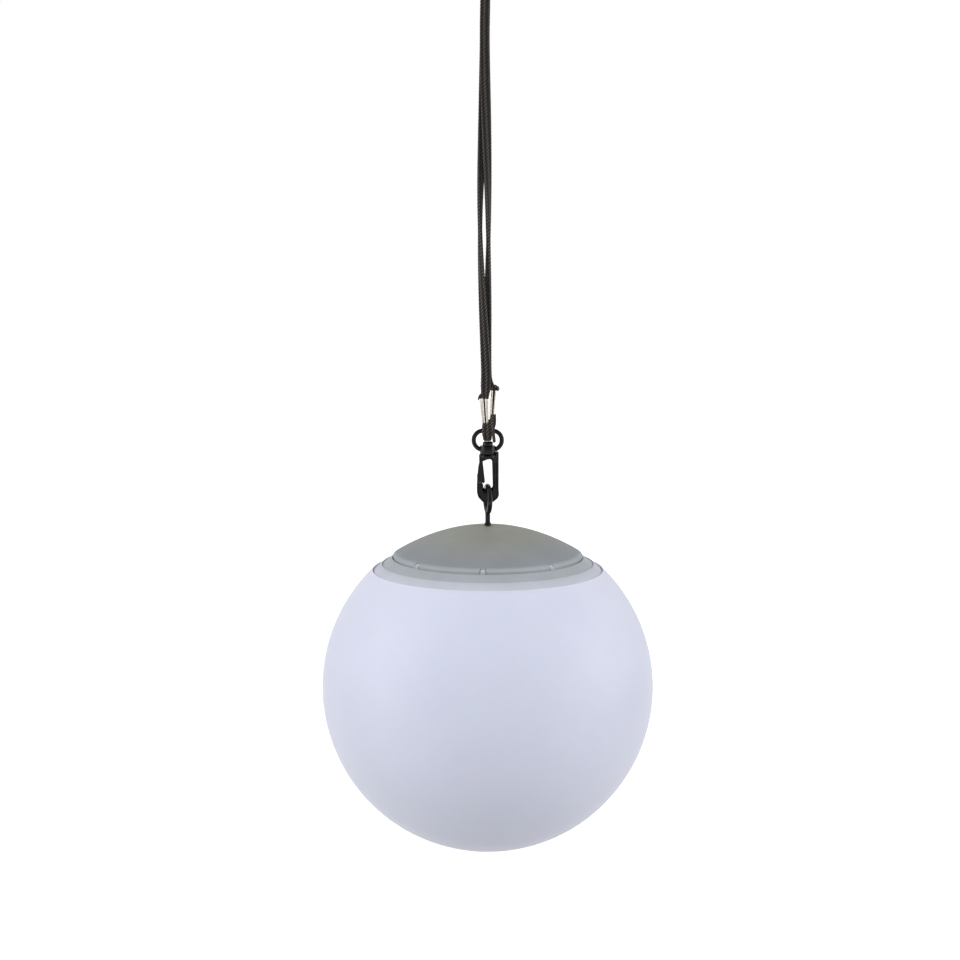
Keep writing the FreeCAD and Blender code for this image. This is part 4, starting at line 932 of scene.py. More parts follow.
@dataclass
class CordEnd:
    """One end of the cord: its eye round the ring, its crimp, and the cut tail above it."""

    end: End
    strand_y: float           # how far behind the axis the crimp's middle is
    height: float             # from the bar up to the crimp
    lean: float               # degrees, the crimp leans to the side
    side: float
    loop_side: float
    loop_shift: float         # how much further to the side the eye is under the bar
    loop_wall: float
    loop_slack: float
    loop_drop: float          # from the bar's middle down to the middle line
    bottom_wall: float
    loop_width: tuple[float, ...]       # at heights from the crimp down to the eye's bottom
    crimp_width: tuple[float, float]    # at its foot and at its top
    face_slope: tuple[float, float]     # how far its left and right face fall back at the side
    seam_gap: tuple[float, float]       # at the crimp's foot and at its top
    bar_z: float = -269.5
    bar: float = 2.45
    strand: float = 1.65
    crimp_depth: float = 4.2
    crimp_length: float = 14.9
    crimp_wall: float = 0.45
    flare: float = 0.035      # share by which both ends of the crimp are widened
    flare_reach: float = 0.7
    pressed_in: float = 0.012
    tail_start: float = -1.6  # the tails start this far inside the crimp
    tag_way: tuple[tuple[float, float], ...] = (      # from the crimp's top, in the front view
        (-0.2, -1.6), (-0.3, 0.8), (-0.9, 2.2), (-1.9, 1.4), (-2.9, 0.2), (-3.5, -0.8))
    tag_thickness: tuple[float, ...] = (2.0, 2.9, 2.0, 0.8)
    tag_width: tuple[float, ...] = (3.2, 3.4, 2.4)
    stump_height: float = 3.2
    stump_width: tuple[float, ...] = (2.4, 3.0, 4.4, 5.7, 4.2, 1.6)    # from the crimp upwards
    stump_middle: tuple[float, ...] = (0.0, 0.0, 0.1, 0.55, 0.1, -0.4)
    stump_thickness: tuple[float, float] = (1.6, 2.9)
    core_room: float = 1.5    # how much smaller the strands are than the crimp round them
    columns: int = 56
    braid: Braid = field(default_factory=lambda: Braid(column=1.35, pitch=1.9, relief=0.26))

    def leaned(self, shell: Shell) -> Shell:
        """Lean a shell about the ring's bar in the front view, and shift it to the side.

        Args:
            shell: A shell upright over the ring's bar.

        Returns:
            The same shell, moved.
        """
        angle = math.radians(self.lean)
        x, y, z = shell.points.T
        high = z - self.bar_z
        shell.points = np.stack([x * math.cos(angle) + high * math.sin(angle) + self.side, y,
                                 self.bar_z - x * math.sin(angle) + high * math.cos(angle)], -1)
        return shell

    def loop_line(self) -> np.ndarray:
        """Side view of the eye's middle line.

        Formula: a circle about the bar, and the two lines that touch it from the crimp's mouth,
        each at the angle of its point plus or minus the arc cosine of radius over distance. Under
        the bar's middle, heights are stretched by drop over radius.

        Returns:
            Pairs of depth and height from the bar's middle.
        """
        radius = self.bar / 2 + self.loop_slack + self.loop_wall / 2
        left = np.array([self.strand_y - self.strand / 2, self.height + 0.6])
        right = np.array([self.strand_y + self.strand / 2, self.height + 0.6])
        start = math.atan2(left[1], left[0]) + math.acos(radius / np.linalg.norm(left))
        stop = (math.atan2(right[1], right[0]) - math.acos(radius / np.linalg.norm(right))
                + 2 * math.pi)
        angle = np.linspace(start, stop, 80)
        circle = radius * np.stack([np.cos(angle), np.sin(angle)], -1)
        circle[circle[:, 1] < 0, 1] *= self.loop_drop / radius
        up = np.array([0.0, 1.4])
        return resample(np.vstack([left + up, left, circle, right, right + up]), 420)

    def eye(self) -> Shell:
        """The braid on its way round the ring's bar, bunched where the crimp holds it.

        Formula: the width is read off between the crimp and the eye's bottom, and the wall grows
        with the square of the way down from the bar's middle.

        Returns:
            The closed surface.
        """
        line = self.loop_line()
        into = np.clip((self.height + 0.8 - line[:, 1]) / 3.2, 0, 1)
        into = into * into * (3 - 2 * into)
        low = np.clip((self.height - line[:, 1]) / (self.height + self.loop_drop), 0, 1)
        under = np.clip(-line[:, 1] / self.loop_drop, 0, 1)
        path = np.stack([self.loop_side + self.loop_shift * under, line[:, 0],
                         self.bar_z + line[:, 1]], -1)
        width = np.interp(low, np.linspace(0, 1, len(self.loop_width)), self.loop_width)
        thickness = (self.strand + (self.loop_wall - self.strand) * into
                     + (self.bottom_wall - self.loop_wall) * under ** 2)
        return braided(path, np.array([1.0, 0.0, 0.0]), width, thickness, self.braid,
                       self.columns)

    def tag(self) -> Shell:
        """Front tail: a flap that bends over the crimp's upper left corner and tapers to a tip.

        Returns:
            The closed surface.
        """
        top = self.height + self.crimp_length
        way = np.array(self.tag_way)
        controls = np.column_stack([way[:, 0], np.full(len(way), self.strand_y - 0.3),
                                    self.bar_z + top + way[:, 1]])
        line = resample(spline_line("front_tag", controls), 60)
        share = np.linspace(0, 1, 60)
        thick = np.interp(share, (0, 0.35, 0.75, 1), self.tag_thickness)
        wide = np.interp(share, (0, 0.5, 1), self.tag_width)
        return self.leaned(braided(line, np.array([0.0, 1.0, 0.0]), wide, thick, self.braid, 40))

    def stump(self) -> Shell:
        """Rear tail: the cut end, spread like a mushroom, with its tip to the right.

        Formula: width and middle are read off on the way up, and the cut's height falls with x,
        plus small waves, so that it looks melted and ragged.

        Returns:
            The closed surface.
        """
        start = self.bar_z + self.height + self.crimp_length + self.tail_start
        tall = self.stump_height
        rise = np.linspace(0, 1, 60)
        marks = (0, 0.3, 0.36, 0.58, 0.8, 1)
        across = np.interp(rise, marks, self.stump_width)
        middle = np.interp(rise, marks, self.stump_middle)
        thick = np.interp(rise, (0, 1), self.stump_thickness)
        path = np.stack([middle, np.full(60, self.strand_y - 0.5),
                         start + (tall - self.tail_start) * rise], -1)
        shell = braided(path, np.array([1.0, 0.0, 0.0]), across, thick, self.braid, self.columns)
        x, y, z = shell.points.T
        share = np.clip((z - start + self.tail_start) / tall, 0, 1)
        ragged = 0.22 * np.sin(4.1 * x + 1.3 * y) + 0.16 * np.sin(7.3 * y - 2.2 * x + 1.0)
        shell.points = np.stack([x, y, z - 0.16 * share * (x + 1.0) + share ** 2 * ragged], -1)
        return self.leaned(shell)

    def core(self) -> Shell:
        """The two strands inside the crimp, as one filling that shows dark in its seam.

        Returns:
            The closed surface.
        """
        share = np.linspace(0, 1, 60)
        foot, head = self.crimp_width
        path = np.stack([np.zeros(60), np.full(60, self.strand_y),
                         self.bar_z + self.height - 0.4 + (self.crimp_length - 0.3) * share], -1)
        return self.leaned(braided(path, np.array([1.0, 0.0, 0.0]),
                                   foot + (head - foot) * share - self.core_room,
                                   np.full(60, self.crimp_depth - self.core_room), self.braid,
                                   self.columns))

    def strip(self, gap: float, width: float) -> np.ndarray:
        """Middle line of the folded strip, seen from above, from one lip of the seam to the other.

        Formula: each half is a rounded outline from the curled lip round the side to the back,
        whose front face falls back to the side by its slope. The left half is mirrored.

        Args:
            gap: Opening of the seam.
            width: Width of the crimp.

        Returns:
            Pairs across and deep, shape (119, 2).
        """
        half = width / 2 - self.crimp_wall / 2
        deep = self.crimp_depth / 2 - self.crimp_wall / 2
        lip = gap / 2 + self.crimp_wall / 2
        left, right = (
            resample(rounded([(lip, -deep + 1.1, 0), (lip, -deep, 0.4), (half, -deep + slope, 0.7),
                              (half, deep, 1.0), (0.0, deep, 0)], closed=False, steps=10), 60)
            for slope in self.face_slope)
        return np.vstack([right, left[::-1][1:] * np.array([-1.0, 1.0])])

    def crimp(self) -> Shell:
        """Bright strip folded round both strands, with its seam in front and its ends flared.

        Formula: at its foot and at its top the strip's middle line is moved out and in by half
        the wall along its normal. Every level between lies on straight lines from one to the
        other, pressed in by a long shallow wave and widened at both ends by an exponential flare.

        Returns:
            The closed surface.
        """
        ends = []
        for gap, width in zip(self.seam_gap, self.crimp_width):
            line = self.strip(gap, width)
            side = np.gradient(line, axis=0)
            normal = np.stack([side[:, 1], -side[:, 0]], -1)
            normal = normal / np.linalg.norm(normal, axis=1, keepdims=True)
            outer = line + normal * self.crimp_wall / 2
            inner = line - normal * self.crimp_wall / 2
            ends.append(np.vstack([outer, inner[::-1]]))
        level = np.linspace(0, 1, 40)[:, None]
        end = np.minimum(level, 1 - level) * self.crimp_length
        flare = (1 + self.flare * np.exp(-end / self.flare_reach)
                 - self.pressed_in * np.sin(np.pi * level))
        pairs = (ends[0][None] + (ends[1] - ends[0])[None] * level[..., None]) * flare[..., None]
        height = self.bar_z + self.height + self.crimp_length * level
        grid = np.stack([pairs[..., 0], pairs[..., 1] + self.strand_y,
                         np.broadcast_to(height, pairs.shape[:2])], -1)
        return self.leaned(skin(grid, folded=True))

    def build(self, cord: bpy.types.Material, nickel: bpy.types.Material) -> None:
        """Make the eye with its tail, and the crimp on them.

        Args:
            cord: The braid's material.
            nickel: The crimp's material.
        """
        name = self.end.value
        tail = self.tag() if self.end is End.FRONT else self.stump()
        make_piece(f"cord_eye_{name}_braid", [self.eye(), self.core(), tail], cord, Body.CORD,
                   (f"cord_eye_{name}",), sharp=180.0)
        make_piece(f"crimp_{name}_folded", [self.crimp()], nickel, Body.CORD,
                   (f"ferrule_{name}",))


# ---- Ring, hook and gate ------------------------------------------------------------------


@dataclass
class SwivelRing:
    """Oval ring of round bar with the collar that the hook's post turns in."""

    width: float = 19.5
    height: float = 14.25
    bar: float = 2.7
    top_z: float = -269.5
    collar_diameter: float = 9.5
    collar_height: float = 4.9
    collar_bore: float = 3.4
    mould_line: float = 0.05  # height of the ridge where the mould's halves met

    def build(self, finish: bpy.types.Material) -> None:
        """Carry the bar round the oval, with its mould line, and turn the collar.

        Formula: the oval is two straight runs and two half circles, and the bar's section is a
        circle with a low ridge at each side, where the mould's halves met.

        Args:
            finish: Its material.
        """
        tall = self.height - self.bar
        half = (self.width - self.bar) / 2
        end = tall / 2
        corners = [(-half, 0.0, end), (half, 0.0, end), (half, -tall, end), (-half, -tall, end)]
        oval = resample(rounded(corners, steps=40), 200, closed=True)
        path = np.stack([oval[:, 0], np.zeros(len(oval)), self.top_z + oval[:, 1]], -1)
        angle = np.linspace(0, 2 * np.pi, 40, endpoint=False)
        ridge = self.mould_line * np.exp(-(np.sin(angle) / 0.12) ** 2)
        radius = self.bar / 2 - self.mould_line + ridge
        section = np.stack([radius * np.sin(angle), radius * np.cos(angle)], -1)
        ring = carried(path, np.array([0.0, 1.0, 0.0]), section, rows_go_round=True)
        middle = self.top_z - tall
        low = middle - self.collar_height / 2
        high = middle + self.collar_height / 2
        outer = self.collar_diameter / 2
        bore = self.collar_bore / 2
        collar = turned(rounded([(bore, low, 0.15), (outer, low, 0.45), (outer, high, 0.45),
                                 (bore, high, 0.15)]), 96)
        make_piece("swivel_ring_moulded", [ring, collar], finish, Body.RING, ("swivel_ring",))


@dataclass
class SnapHook:
    """Moulded hook: a C with hollowed faces under a round shoulder, a post and its head."""

    shoulder_z: float = -284.0
    arch_z: float = -286.6
    seat_z: float = -305.0
    nose_z: float = -301.0
    heel_z: float = -309.6
    bottom_z: float = -313.4
    heel_x: tuple[float, float] = (6.9, -5.8)   # on the right and on the left
    bottom_half: float = 2.2  # half of the straight run at the bottom
    heel_round: float = 4.4
    bottom_round: float = 4.2
    side_round: float = 17.6
    mouth_z: float = -302.25  # from here down, the inner outline rounds into the seat
    half_width: float = 6.55
    half_depth: float = 2.5
    shoulder: float = 5.2
    horn_x: float = 5.2       # the spine ends in a horn beside the collar
    horn: float = 1.8
    arch_x: float = 2.5       # inner side of the spine under the arch
    spine_x: float = 3.0      # and at the seat
    seat_left: float = -2.65
    nose_x: float = -3.25
    rib: float = 1.15
    hollow: float = 0.8
    seat_round: float = 2.6
    root: tuple[float, float] = (-4.0, -288.1)
    root_room: float = 1.2
    head_z: float = -278.5
    head_height: float = 2.5
    head_radius: float = 3.1
    post_radius: float = 1.6
    counts: tuple[int, ...] = (30, 14, 44, 70, 16)

    def outside(self) -> np.ndarray:
        """Outer outline, from the left end of the arch over the spine and the heel to the nose.

        Returns:
            Pairs of x and height, as many as the inner outline has.
        """
        line = rounded([
            (-self.shoulder, self.shoulder_z, 0), (self.horn_x, self.shoulder_z, 0.1),
            (self.horn_x, self.shoulder_z + self.horn, 0.15),
            (self.half_width, self.shoulder_z + self.horn, 0.5),
            (self.half_width, self.seat_z, self.side_round),
            (self.heel_x[0], self.heel_z, self.heel_round),
            (self.bottom_half, self.bottom_z, self.bottom_round),
            (-self.bottom_half, self.bottom_z, self.bottom_round),
            (self.heel_x[1], self.heel_z, self.heel_round),
            (-self.half_width, self.heel_z + 3.0, self.side_round),
            (-self.half_width, self.nose_z, 0),
        ], closed=False, steps=14)
        breaks = [(-self.shoulder, self.shoulder_z), (self.horn_x - 0.05, self.shoulder_z),
                  (self.half_width, self.arch_z - 1.0), (self.half_width, self.mouth_z),
                  (-self.half_width, self.heel_z + 6.0), (-self.half_width, self.nose_z)]
        return between(line, breaks, list(self.counts))

    def inside(self) -> np.ndarray:
        """Inner outline, from the notch for the gate's root under the arch to the nose.

        Returns:
            Pairs of x and height, as many as the outer outline has.
        """
        angle = np.radians(np.linspace(165, 15, 20))
        notch = np.array(self.root) + self.root_room * np.stack([np.cos(angle), np.sin(angle)], -1)
        line = rounded([
            (-2.84, -287.79, 0), (0.0, self.arch_z, 1.7), (self.arch_x, self.arch_z, 1.7),
            (self.spine_x, self.seat_z, 2.75), (self.seat_left, self.seat_z, 2.75),
            (self.seat_left, self.nose_z - 1.2, 0), (self.nose_x, self.nose_z - 0.6, 0),
            (self.nose_x, self.nose_z, 0),
        ], closed=False, steps=14)
        breaks = [(-5.16, -287.79), (0.8, self.arch_z), (self.arch_x, self.arch_z - 1.7),
                  (self.spine_x, self.mouth_z), (self.seat_left, self.mouth_z),
                  (self.nose_x, self.nose_z)]
        return between(np.vstack([notch, line]), breaks, list(self.counts))

    def frame(self) -> Shell:
        """The hook's C.

        Formula: each station joins a place on the inner outline to one on the outer outline. Its
        section is a rounded bar whose front and rear faces are sunk between two ribs, by the
        hollow times a factor that is 0 on the arch. In the seat the inner edge also falls by
        R - sqrt(R^2 - y^2), with R the seat's rounding, so that it is a saddle.

        Returns:
            The closed surface.
        """
        inner = self.inside()
        outer = self.outside()
        gap = np.linalg.norm(outer - inner, axis=1)
        toward = (outer - inner) / gap[:, None]
        deep = self.half_depth
        floor = deep - self.hollow
        edge = np.array([(0.0, 0.0), (0.0, -deep + 1.1), (0.0, -deep + 0.45), (0.06, -deep + 0.2),
                         (0.2, -deep + 0.06), (0.45, -deep)])
        rib = np.array([(0.72, -deep), (self.rib - 0.12, -deep), (self.rib, -deep + 0.12),
                        (self.rib + 0.06, -floor - 0.12), (self.rib + 0.18, -floor)])
        near = np.vstack([edge, rib])
        sunk = np.array([False] * len(edge) + [False, False, True, True, True])
        share = np.zeros(len(near))
        front = np.vstack([near, [(0.0, -floor)], near[::-1] * np.array([-1, 1])])
        share = np.concatenate([share, [0.5], share + 1])
        sunk = np.concatenate([sunk, [True], sunk[::-1]])
        back = front[::-1][1:-1] * np.array([1, -1])
        pairs = np.vstack([front, back])
        share = np.concatenate([share, share[::-1][1:-1]])
        sunk = np.concatenate([sunk, sunk[::-1][1:-1]])
        station = np.arange(len(inner))
        starts = np.cumsum(self.counts)
        hollow = np.clip((station - starts[0] - 6) / 10, 0, 1) * np.clip(
            (station[-1] - station) / 6, 0, 1)
        y = pairs[None, :, 1] * np.ones((len(inner), 1))
        flush = np.sign(y) * deep
        y = np.where(sunk[None], flush + (y - flush) * hollow[:, None], y)
        seat = np.clip((self.seat_z + 2.4 - inner[:, 1]) / 2.4, 0, 1)
        seat = seat * np.clip(-toward[:, 1], 0, 1)
        fall = self.seat_round - np.sqrt(np.clip(self.seat_round ** 2 - y ** 2, 0, None))
        reach = pairs[None, :, 0] + share[None] * gap[:, None]
        reach = reach + (1 - share[None]) ** 2 * seat[:, None] * fall
        grid = np.stack([inner[:, None, 0] + toward[:, None, 0] * reach, y,
                         inner[:, None, 1] + toward[:, None, 1] * reach], -1)
        return skin(grid)

    def build(self, finish: bpy.types.Material) -> None:
        """Join the C with its round shoulder, its post and the mushroom head on it.

        Args:
            finish: Its material.
        """
        z = self.shoulder_z
        shoulder = turned(rounded([(0.02, z - 1.4, 0), (self.shoulder, z - 1.4, 0.3),
                                   (self.shoulder, z, 0.25), (0.02, z, 0)], closed=False), 96,
                          closed=False)
        top = self.head_z + self.head_height
        post = turned(rounded([
            (0.02, z - 0.7, 0), (self.post_radius, z - 0.7, 0),
            (self.post_radius, self.head_z, 0.1),
            (self.head_radius, self.head_z, 0.3), (self.head_radius, top - 0.75, 0.7),
            (self.head_radius - 0.75, top, 0.9), (0.02, top, 0)], closed=False), 72, closed=False)
        make_piece("snap_hook_moulded", [self.frame(), shoulder, post], finish, Body.HOOK,
                   ("snap_hook",))


@dataclass
class HookGate:
    """Tongue that closes the hook: a root, a lever, a thumb pad with grooves, and a barb."""

    root: tuple[float, float] = (-4.0, -288.1)
    root_radius: float = 1.1
    tip_z: float = -300.7
    pad_x: float = -6.45
    lever_x: float = -6.15
    barb_x: float = -3.05
    barb_tip_x: float = -1.75
    half_depth: float = 2.0
    pad_height: float = 4.4
    groove: float = 0.16
    grooves_top: float = 3.7  # above the tip
    grooves_height: float = 3.0

    def build(self, finish: bpy.types.Material) -> None:
        """Lever between a left and a right line, and the barb's hanging edge.

        Formula: at each height the section is a rounded bar from the left line to the right line.
        The thumb pad has three shallow grooves, each a dip by a squared sine.

        Args:
            finish: Its material.
        """
        x, z = self.root
        left = rounded([
            (x, z + self.root_radius, 0), (x - 1.1, z + 1.0, 0.8), (x - 1.12, z - 0.4, 0.6),
            (x - 1.75, z - 3.4, 1.2), (self.lever_x, self.tip_z + self.pad_height + 0.6, 1.2),
            (self.pad_x, self.tip_z + self.pad_height, 0.5), (self.pad_x, self.tip_z, 0),
        ], closed=False)
        right = rounded([
            (x, z + self.root_radius, 0), (x + 1.1, z + 1.0, 0.8), (x + 1.02, z - 0.4, 0.6),
            (self.barb_tip_x, self.tip_z + 1.2, 1.2), (self.barb_tip_x, self.tip_z, 0),
        ], closed=False)
        heights = np.linspace(z + self.root_radius - 0.02, self.tip_z, 110)
        low = np.interp(-heights, -left[:, 1], left[:, 0])
        high = np.interp(-heights, -right[:, 1], right[:, 0])
        share = np.clip((self.tip_z + self.grooves_top - heights) / self.grooves_height, 0, 1)
        low = low + self.groove * np.where((share > 0) & (share < 1),
                                           np.sin(share * 3 * np.pi) ** 2, 0)
        deep = self.half_depth
        ring = resample(rounded([(-1, -deep, 0.35), (1, -deep, 0.35), (1, deep, 0.35),
                                 (-1, deep, 0.35)]), 44, closed=True)
        half = (high - low) / 2
        outward = np.sign(ring[:, 0]) * np.minimum(1 - np.abs(ring[:, 0]), 0.35)
        across = np.where(np.abs(ring[:, 0]) > 0.65, np.sign(ring[:, 0]), ring[:, 0] / 0.65)
        reach = np.maximum(half[:, None], 0.1) * across[None] - np.where(
            np.abs(ring[:, 0]) > 0.65, outward, 0)[None] * np.minimum(half[:, None], 1)
        grid = np.stack([((low + high) / 2)[:, None] + reach,
                         np.broadcast_to(ring[None, :, 1], reach.shape),
                         np.broadcast_to(heights[:, None], reach.shape)], -1)
        tip = self.barb_tip_x - 0.1
        edge = rounded([(self.barb_x, self.tip_z - 0.5, 0.1), (tip, self.tip_z, 0.1),
                        (tip, self.tip_z + 0.3, 0.1), (self.barb_x, self.tip_z + 0.3, 0.1)])
        depth = np.linspace(-deep + 0.1, deep - 0.1, 8)
        barb = np.stack([np.broadcast_to(edge[None, :, 0], (8, len(edge))),
                         np.broadcast_to(depth[:, None], (8, len(edge))),
                         np.broadcast_to(edge[None, :, 1], (8, len(edge)))], -1)
        make_piece("hook_gate_moulded", [skin(grid), skin(barb)], finish, Body.GATE,
                   ("hook_gate",))


# ---- Eye bolt, dome, collar and globe -----------------------------------------------------


@dataclass
class EyeBolt:
    """Wire bent into an eye on a threaded shank, and the brass bush it stands in."""

    wire: float = 3.0
    outer: float = 18.6
    centre_z: float = -311.0
    turn: float = 10.0
    end_z: float = -339.9     # the shank's lower end
    bush_top_z: float = -326.0
    thread_top_z: float = -331.0
    thread_pitch: float = 0.5
    bend: float = 2.6
    foot_radius: float = 1.98
    foot_bore: float = 1.75
    foot_height: float = 1.0
    foot_drop: float = 0.9    # the foot is a cup over the bush's spigot
    bush_radius: float = 2.25
    spigot_radius: float = 1.7
    bush_bottom_z: float = -332.2
    bush_body: float = 2.45
    bush_bore: float = 1.6
    thread_depth: float = 0.16
    end_rounding: float = 0.35
    end_gap: float = 0.42     # radians by which the eye's end stops short of its shank

    def line(self) -> np.ndarray:
        """Side view of the bent wire, as pairs from the axis and height.

        Formula: the shank goes up to a bend whose circle touches both the axis and the eye from
        outside, at a depth of sqrt((R + r)^2 - r^2) under the eye's middle. The wire then goes
        round the eye and ends against its own shank.

        Returns:
            The pairs, from the shank's lower end to the eye's end.
        """
        radius = (self.outer - self.wire) / 2
        depth = math.sqrt((radius + self.bend) ** 2 - self.bend ** 2)
        touch = math.asin(self.bend / (radius + self.bend))
        shank = np.array([(0.0, self.end_z), (0.0, self.centre_z - depth)])
        turn = np.linspace(np.pi, np.pi / 2 + touch, 12)[1:]
        bent = np.stack([self.bend + self.bend * np.cos(turn),
                         self.centre_z - depth + self.bend * np.sin(turn)], -1)
        around = np.linspace(touch, 2 * np.pi - self.end_gap, 120)[1:]
        eye = np.stack([radius * np.sin(around), self.centre_z - radius * np.cos(around)], -1)
        return np.vstack([shank, bent, eye])

    def build(self, steel: bpy.types.Material, brass: bpy.types.Material) -> None:
        """Carry the wire's circle along the line, cut its thread, and turn foot and bush.

        Formula: the thread takes depth * (1 - |2 p - 1|) from the radius, where p is the part of
        a pitch reached at that height and angle.

        Args:
            steel: The bolt's material.
            brass: The bush's material.
        """
        angle = math.radians(self.turn)
        facing = np.array([-math.sin(angle), math.cos(angle)])
        line = resample(self.line(), 1100)
        path = np.stack([line[:, 0] * facing[0], line[:, 0] * facing[1], line[:, 1]], -1)
        round_it = np.linspace(0, 2 * np.pi, 28, endpoint=False)
        share = (path[:, 2:3] / self.thread_pitch + round_it[None] / (2 * np.pi)) % 1.0
        cut = self.thread_depth * (1 - np.abs(2 * share - 1)) * (path[:, 2:3] < self.thread_top_z)
        start = np.minimum(np.arange(len(path)), np.arange(len(path))[::-1])[:, None]
        rounding = self.end_rounding * np.clip(1 - start / 12, 0, 1) ** 2
        radius = self.wire / 2 - cut - rounding
        section = np.stack([radius * np.cos(round_it), radius * np.sin(round_it)], -1)
        normal = np.array([facing[1], -facing[0], 0.0])
        wire = carried(path, normal, section)
        low = self.bush_top_z
        hem = low - self.foot_drop
        inside = self.wire / 2 - 0.1
        foot = turned(rounded([
            (inside, low + 0.05, 0), (self.foot_bore, low + 0.05, 0), (self.foot_bore, hem, 0),
            (self.foot_radius, hem, 0.05), (self.foot_radius, low + 0.3, 0.3),
            (inside, low + self.foot_height, 0)]), 48)
        make_piece("eye_bolt_bent_wire", [wire, foot], steel, Body.LAMP, ("eye_bolt",))
        wide = self.bush_radius
        spigot = self.spigot_radius
        bush = turned(rounded([
            (self.bush_bore, self.bush_bottom_z, 0), (self.bush_body, self.bush_bottom_z, 0.1),
            (self.bush_body, low - 1.6, 0.02), (wide, low - 1.4, 0.1), (wide, hem - 0.05, 0.15),
            (spigot, hem - 0.05, 0), (spigot, low, 0), (self.bush_bore, low, 0)]), 72)
        make_piece("cap_bush_turned", [bush], brass, Body.LAMP, ("cap_bush",))


@dataclass
class Dome:
    """Thin dome: part of a ball, with a boss, four screw posts and eight notches in its edge."""

    centre_z: float = -426.0
    radius: float = 99.2
    wall: float = 2.2
    edge: float = 56.8
    flattened: float = 0.55   # how far the top lies under the ball
    drooping: float = 0.4     # and how much further the middle of its slope does
    hole: float = 2.5
    boss: float = 8.0
    boss_z: float = -332.2
    notches: int = 8
    first_notch: float = -3.0
    notch_half: float = 1.8
    notch_depth: float = 2.2
    post_circle: float = 52.0
    post_radius: float = 3.0
    post_z: float = -349.95
    post_bore: float = 1.5
    post_hole: float = 6.6
    edge_round: float = 0.3

    def angles(self) -> np.ndarray:
        """Angles round the axis, close together at the notches' sides.

        Returns:
            The angles in radians, in rising order.
        """
        even = np.linspace(0, 360, 288, endpoint=False)
        notch = self.first_notch + 360 / self.notches * np.arange(self.notches)
        side = math.degrees(self.notch_half / self.edge)
        close = side * np.array([-1.12, -1.04, -1.0, -0.96, 0.96, 1.0, 1.04, 1.12])
        every = np.concatenate([even, (notch[:, None] + close[None]).ravel() % 360])
        return np.radians(np.unique(np.round(every, 4)))

    def edge_at(self, angle: np.ndarray) -> np.ndarray:
        """Radius of the edge: notch_depth less within notch_half of a notch's middle.

        Args:
            angle: Angles round the axis.

        Returns:
            A radius for each angle.
        """
        step = 2 * np.pi / self.notches
        away = (angle - math.radians(self.first_notch) + step / 2) % step - step / 2
        inside = np.clip((self.notch_half - np.abs(away) * self.edge) / 0.12 + 0.5, 0, 1)
        return self.edge - self.notch_depth * inside

    def ball(self, radius: float, distance: np.ndarray) -> np.ndarray:
        """Height on a ball about the globe's middle, at a distance from the axis.

        Formula: with s = (d/edge)^2, sqrt(R^2 - d^2) less flattened * (1 - s) and less
        drooping * 4 s (1 - s).

        Args:
            radius: Radius of the ball.
            distance: Distances from the axis.

        Returns:
            A height for each distance.
        """
        share = np.clip((distance / self.edge) ** 2, 0, 1)
        low = (1 - share) * (self.flattened + 4 * self.drooping * share)
        return self.centre_z + np.sqrt(radius ** 2 - distance ** 2) - low

    def build(self, finish: bpy.types.Material) -> None:
        """Skin the dome from rows that each have a radius and a height at every angle.

        Args:
            finish: Its material.
        """
        angle = self.angles()
        edge = self.edge_at(angle)[None]
        inner = self.radius - self.wall
        turn_in = edge - self.edge_round
        out = np.linspace(0, 1, 70)[:, None] ** 0.9
        radius = self.hole + (turn_in - self.hole) * out
        rows = [(radius, self.ball(self.radius, radius))]
        top = self.ball(self.radius, edge)
        foot = self.ball(inner, edge)
        rows += [(edge - 0.12, top + 0.02), (edge, top - 0.18), (edge, top - 0.5),
                 (edge, foot + 0.3), (edge - 0.1, foot + 0.1)]
        radius = turn_in + (self.boss + 0.4 - turn_in) * np.linspace(0, 1, 40)[:, None]
        rows.append((radius, self.ball(inner, radius)))
        rows += [(np.array([[r]]), np.array([[self.boss_z + lift]])) for r, lift in (
            (self.boss, 2.7), (self.boss, 0.25), (self.boss - 0.25, 0.0), (self.hole, 0.0),
            (self.hole, 2.5))]
        shells = [skin(lathe(rows, angle), rows_go_round=True)]
        shells += [self.post(turn) for turn in (45, 135, 225, 315)]
        make_piece("dome_cap_frosted", shells, finish, Body.LAMP, ("dome_cap",))

    def post(self, turn: float) -> Shell:
        """Screw post whose top follows the inside of the dome.

        Args:
            turn: Degrees about the axis, from the front.

        Returns:
            The closed surface.
        """
        middle = self.post_circle * np.array([math.sin(math.radians(turn)),
                                              -math.cos(math.radians(turn))])
        round_it = np.linspace(0, 2 * np.pi, 32, endpoint=False)
        outer = self.post_radius
        radii = np.array([self.post_bore, outer - 0.2, outer, outer])[:, None]
        x = middle[0] + radii * np.cos(round_it)
        y = middle[1] + radii * np.sin(round_it)
        z = np.stack([np.full(32, self.post_z + lift) for lift in (0, 0, 0.2, 0.2)])
        z[3] = self.ball(self.radius - self.wall + 1.0, np.hypot(x[3], y[3]))
        deep = np.stack([x[0], y[0], np.full(32, self.post_z + self.post_hole)], -1)
        grid = np.stack([x, y, z], -1)
        return skin(np.concatenate([deep[None], grid]))


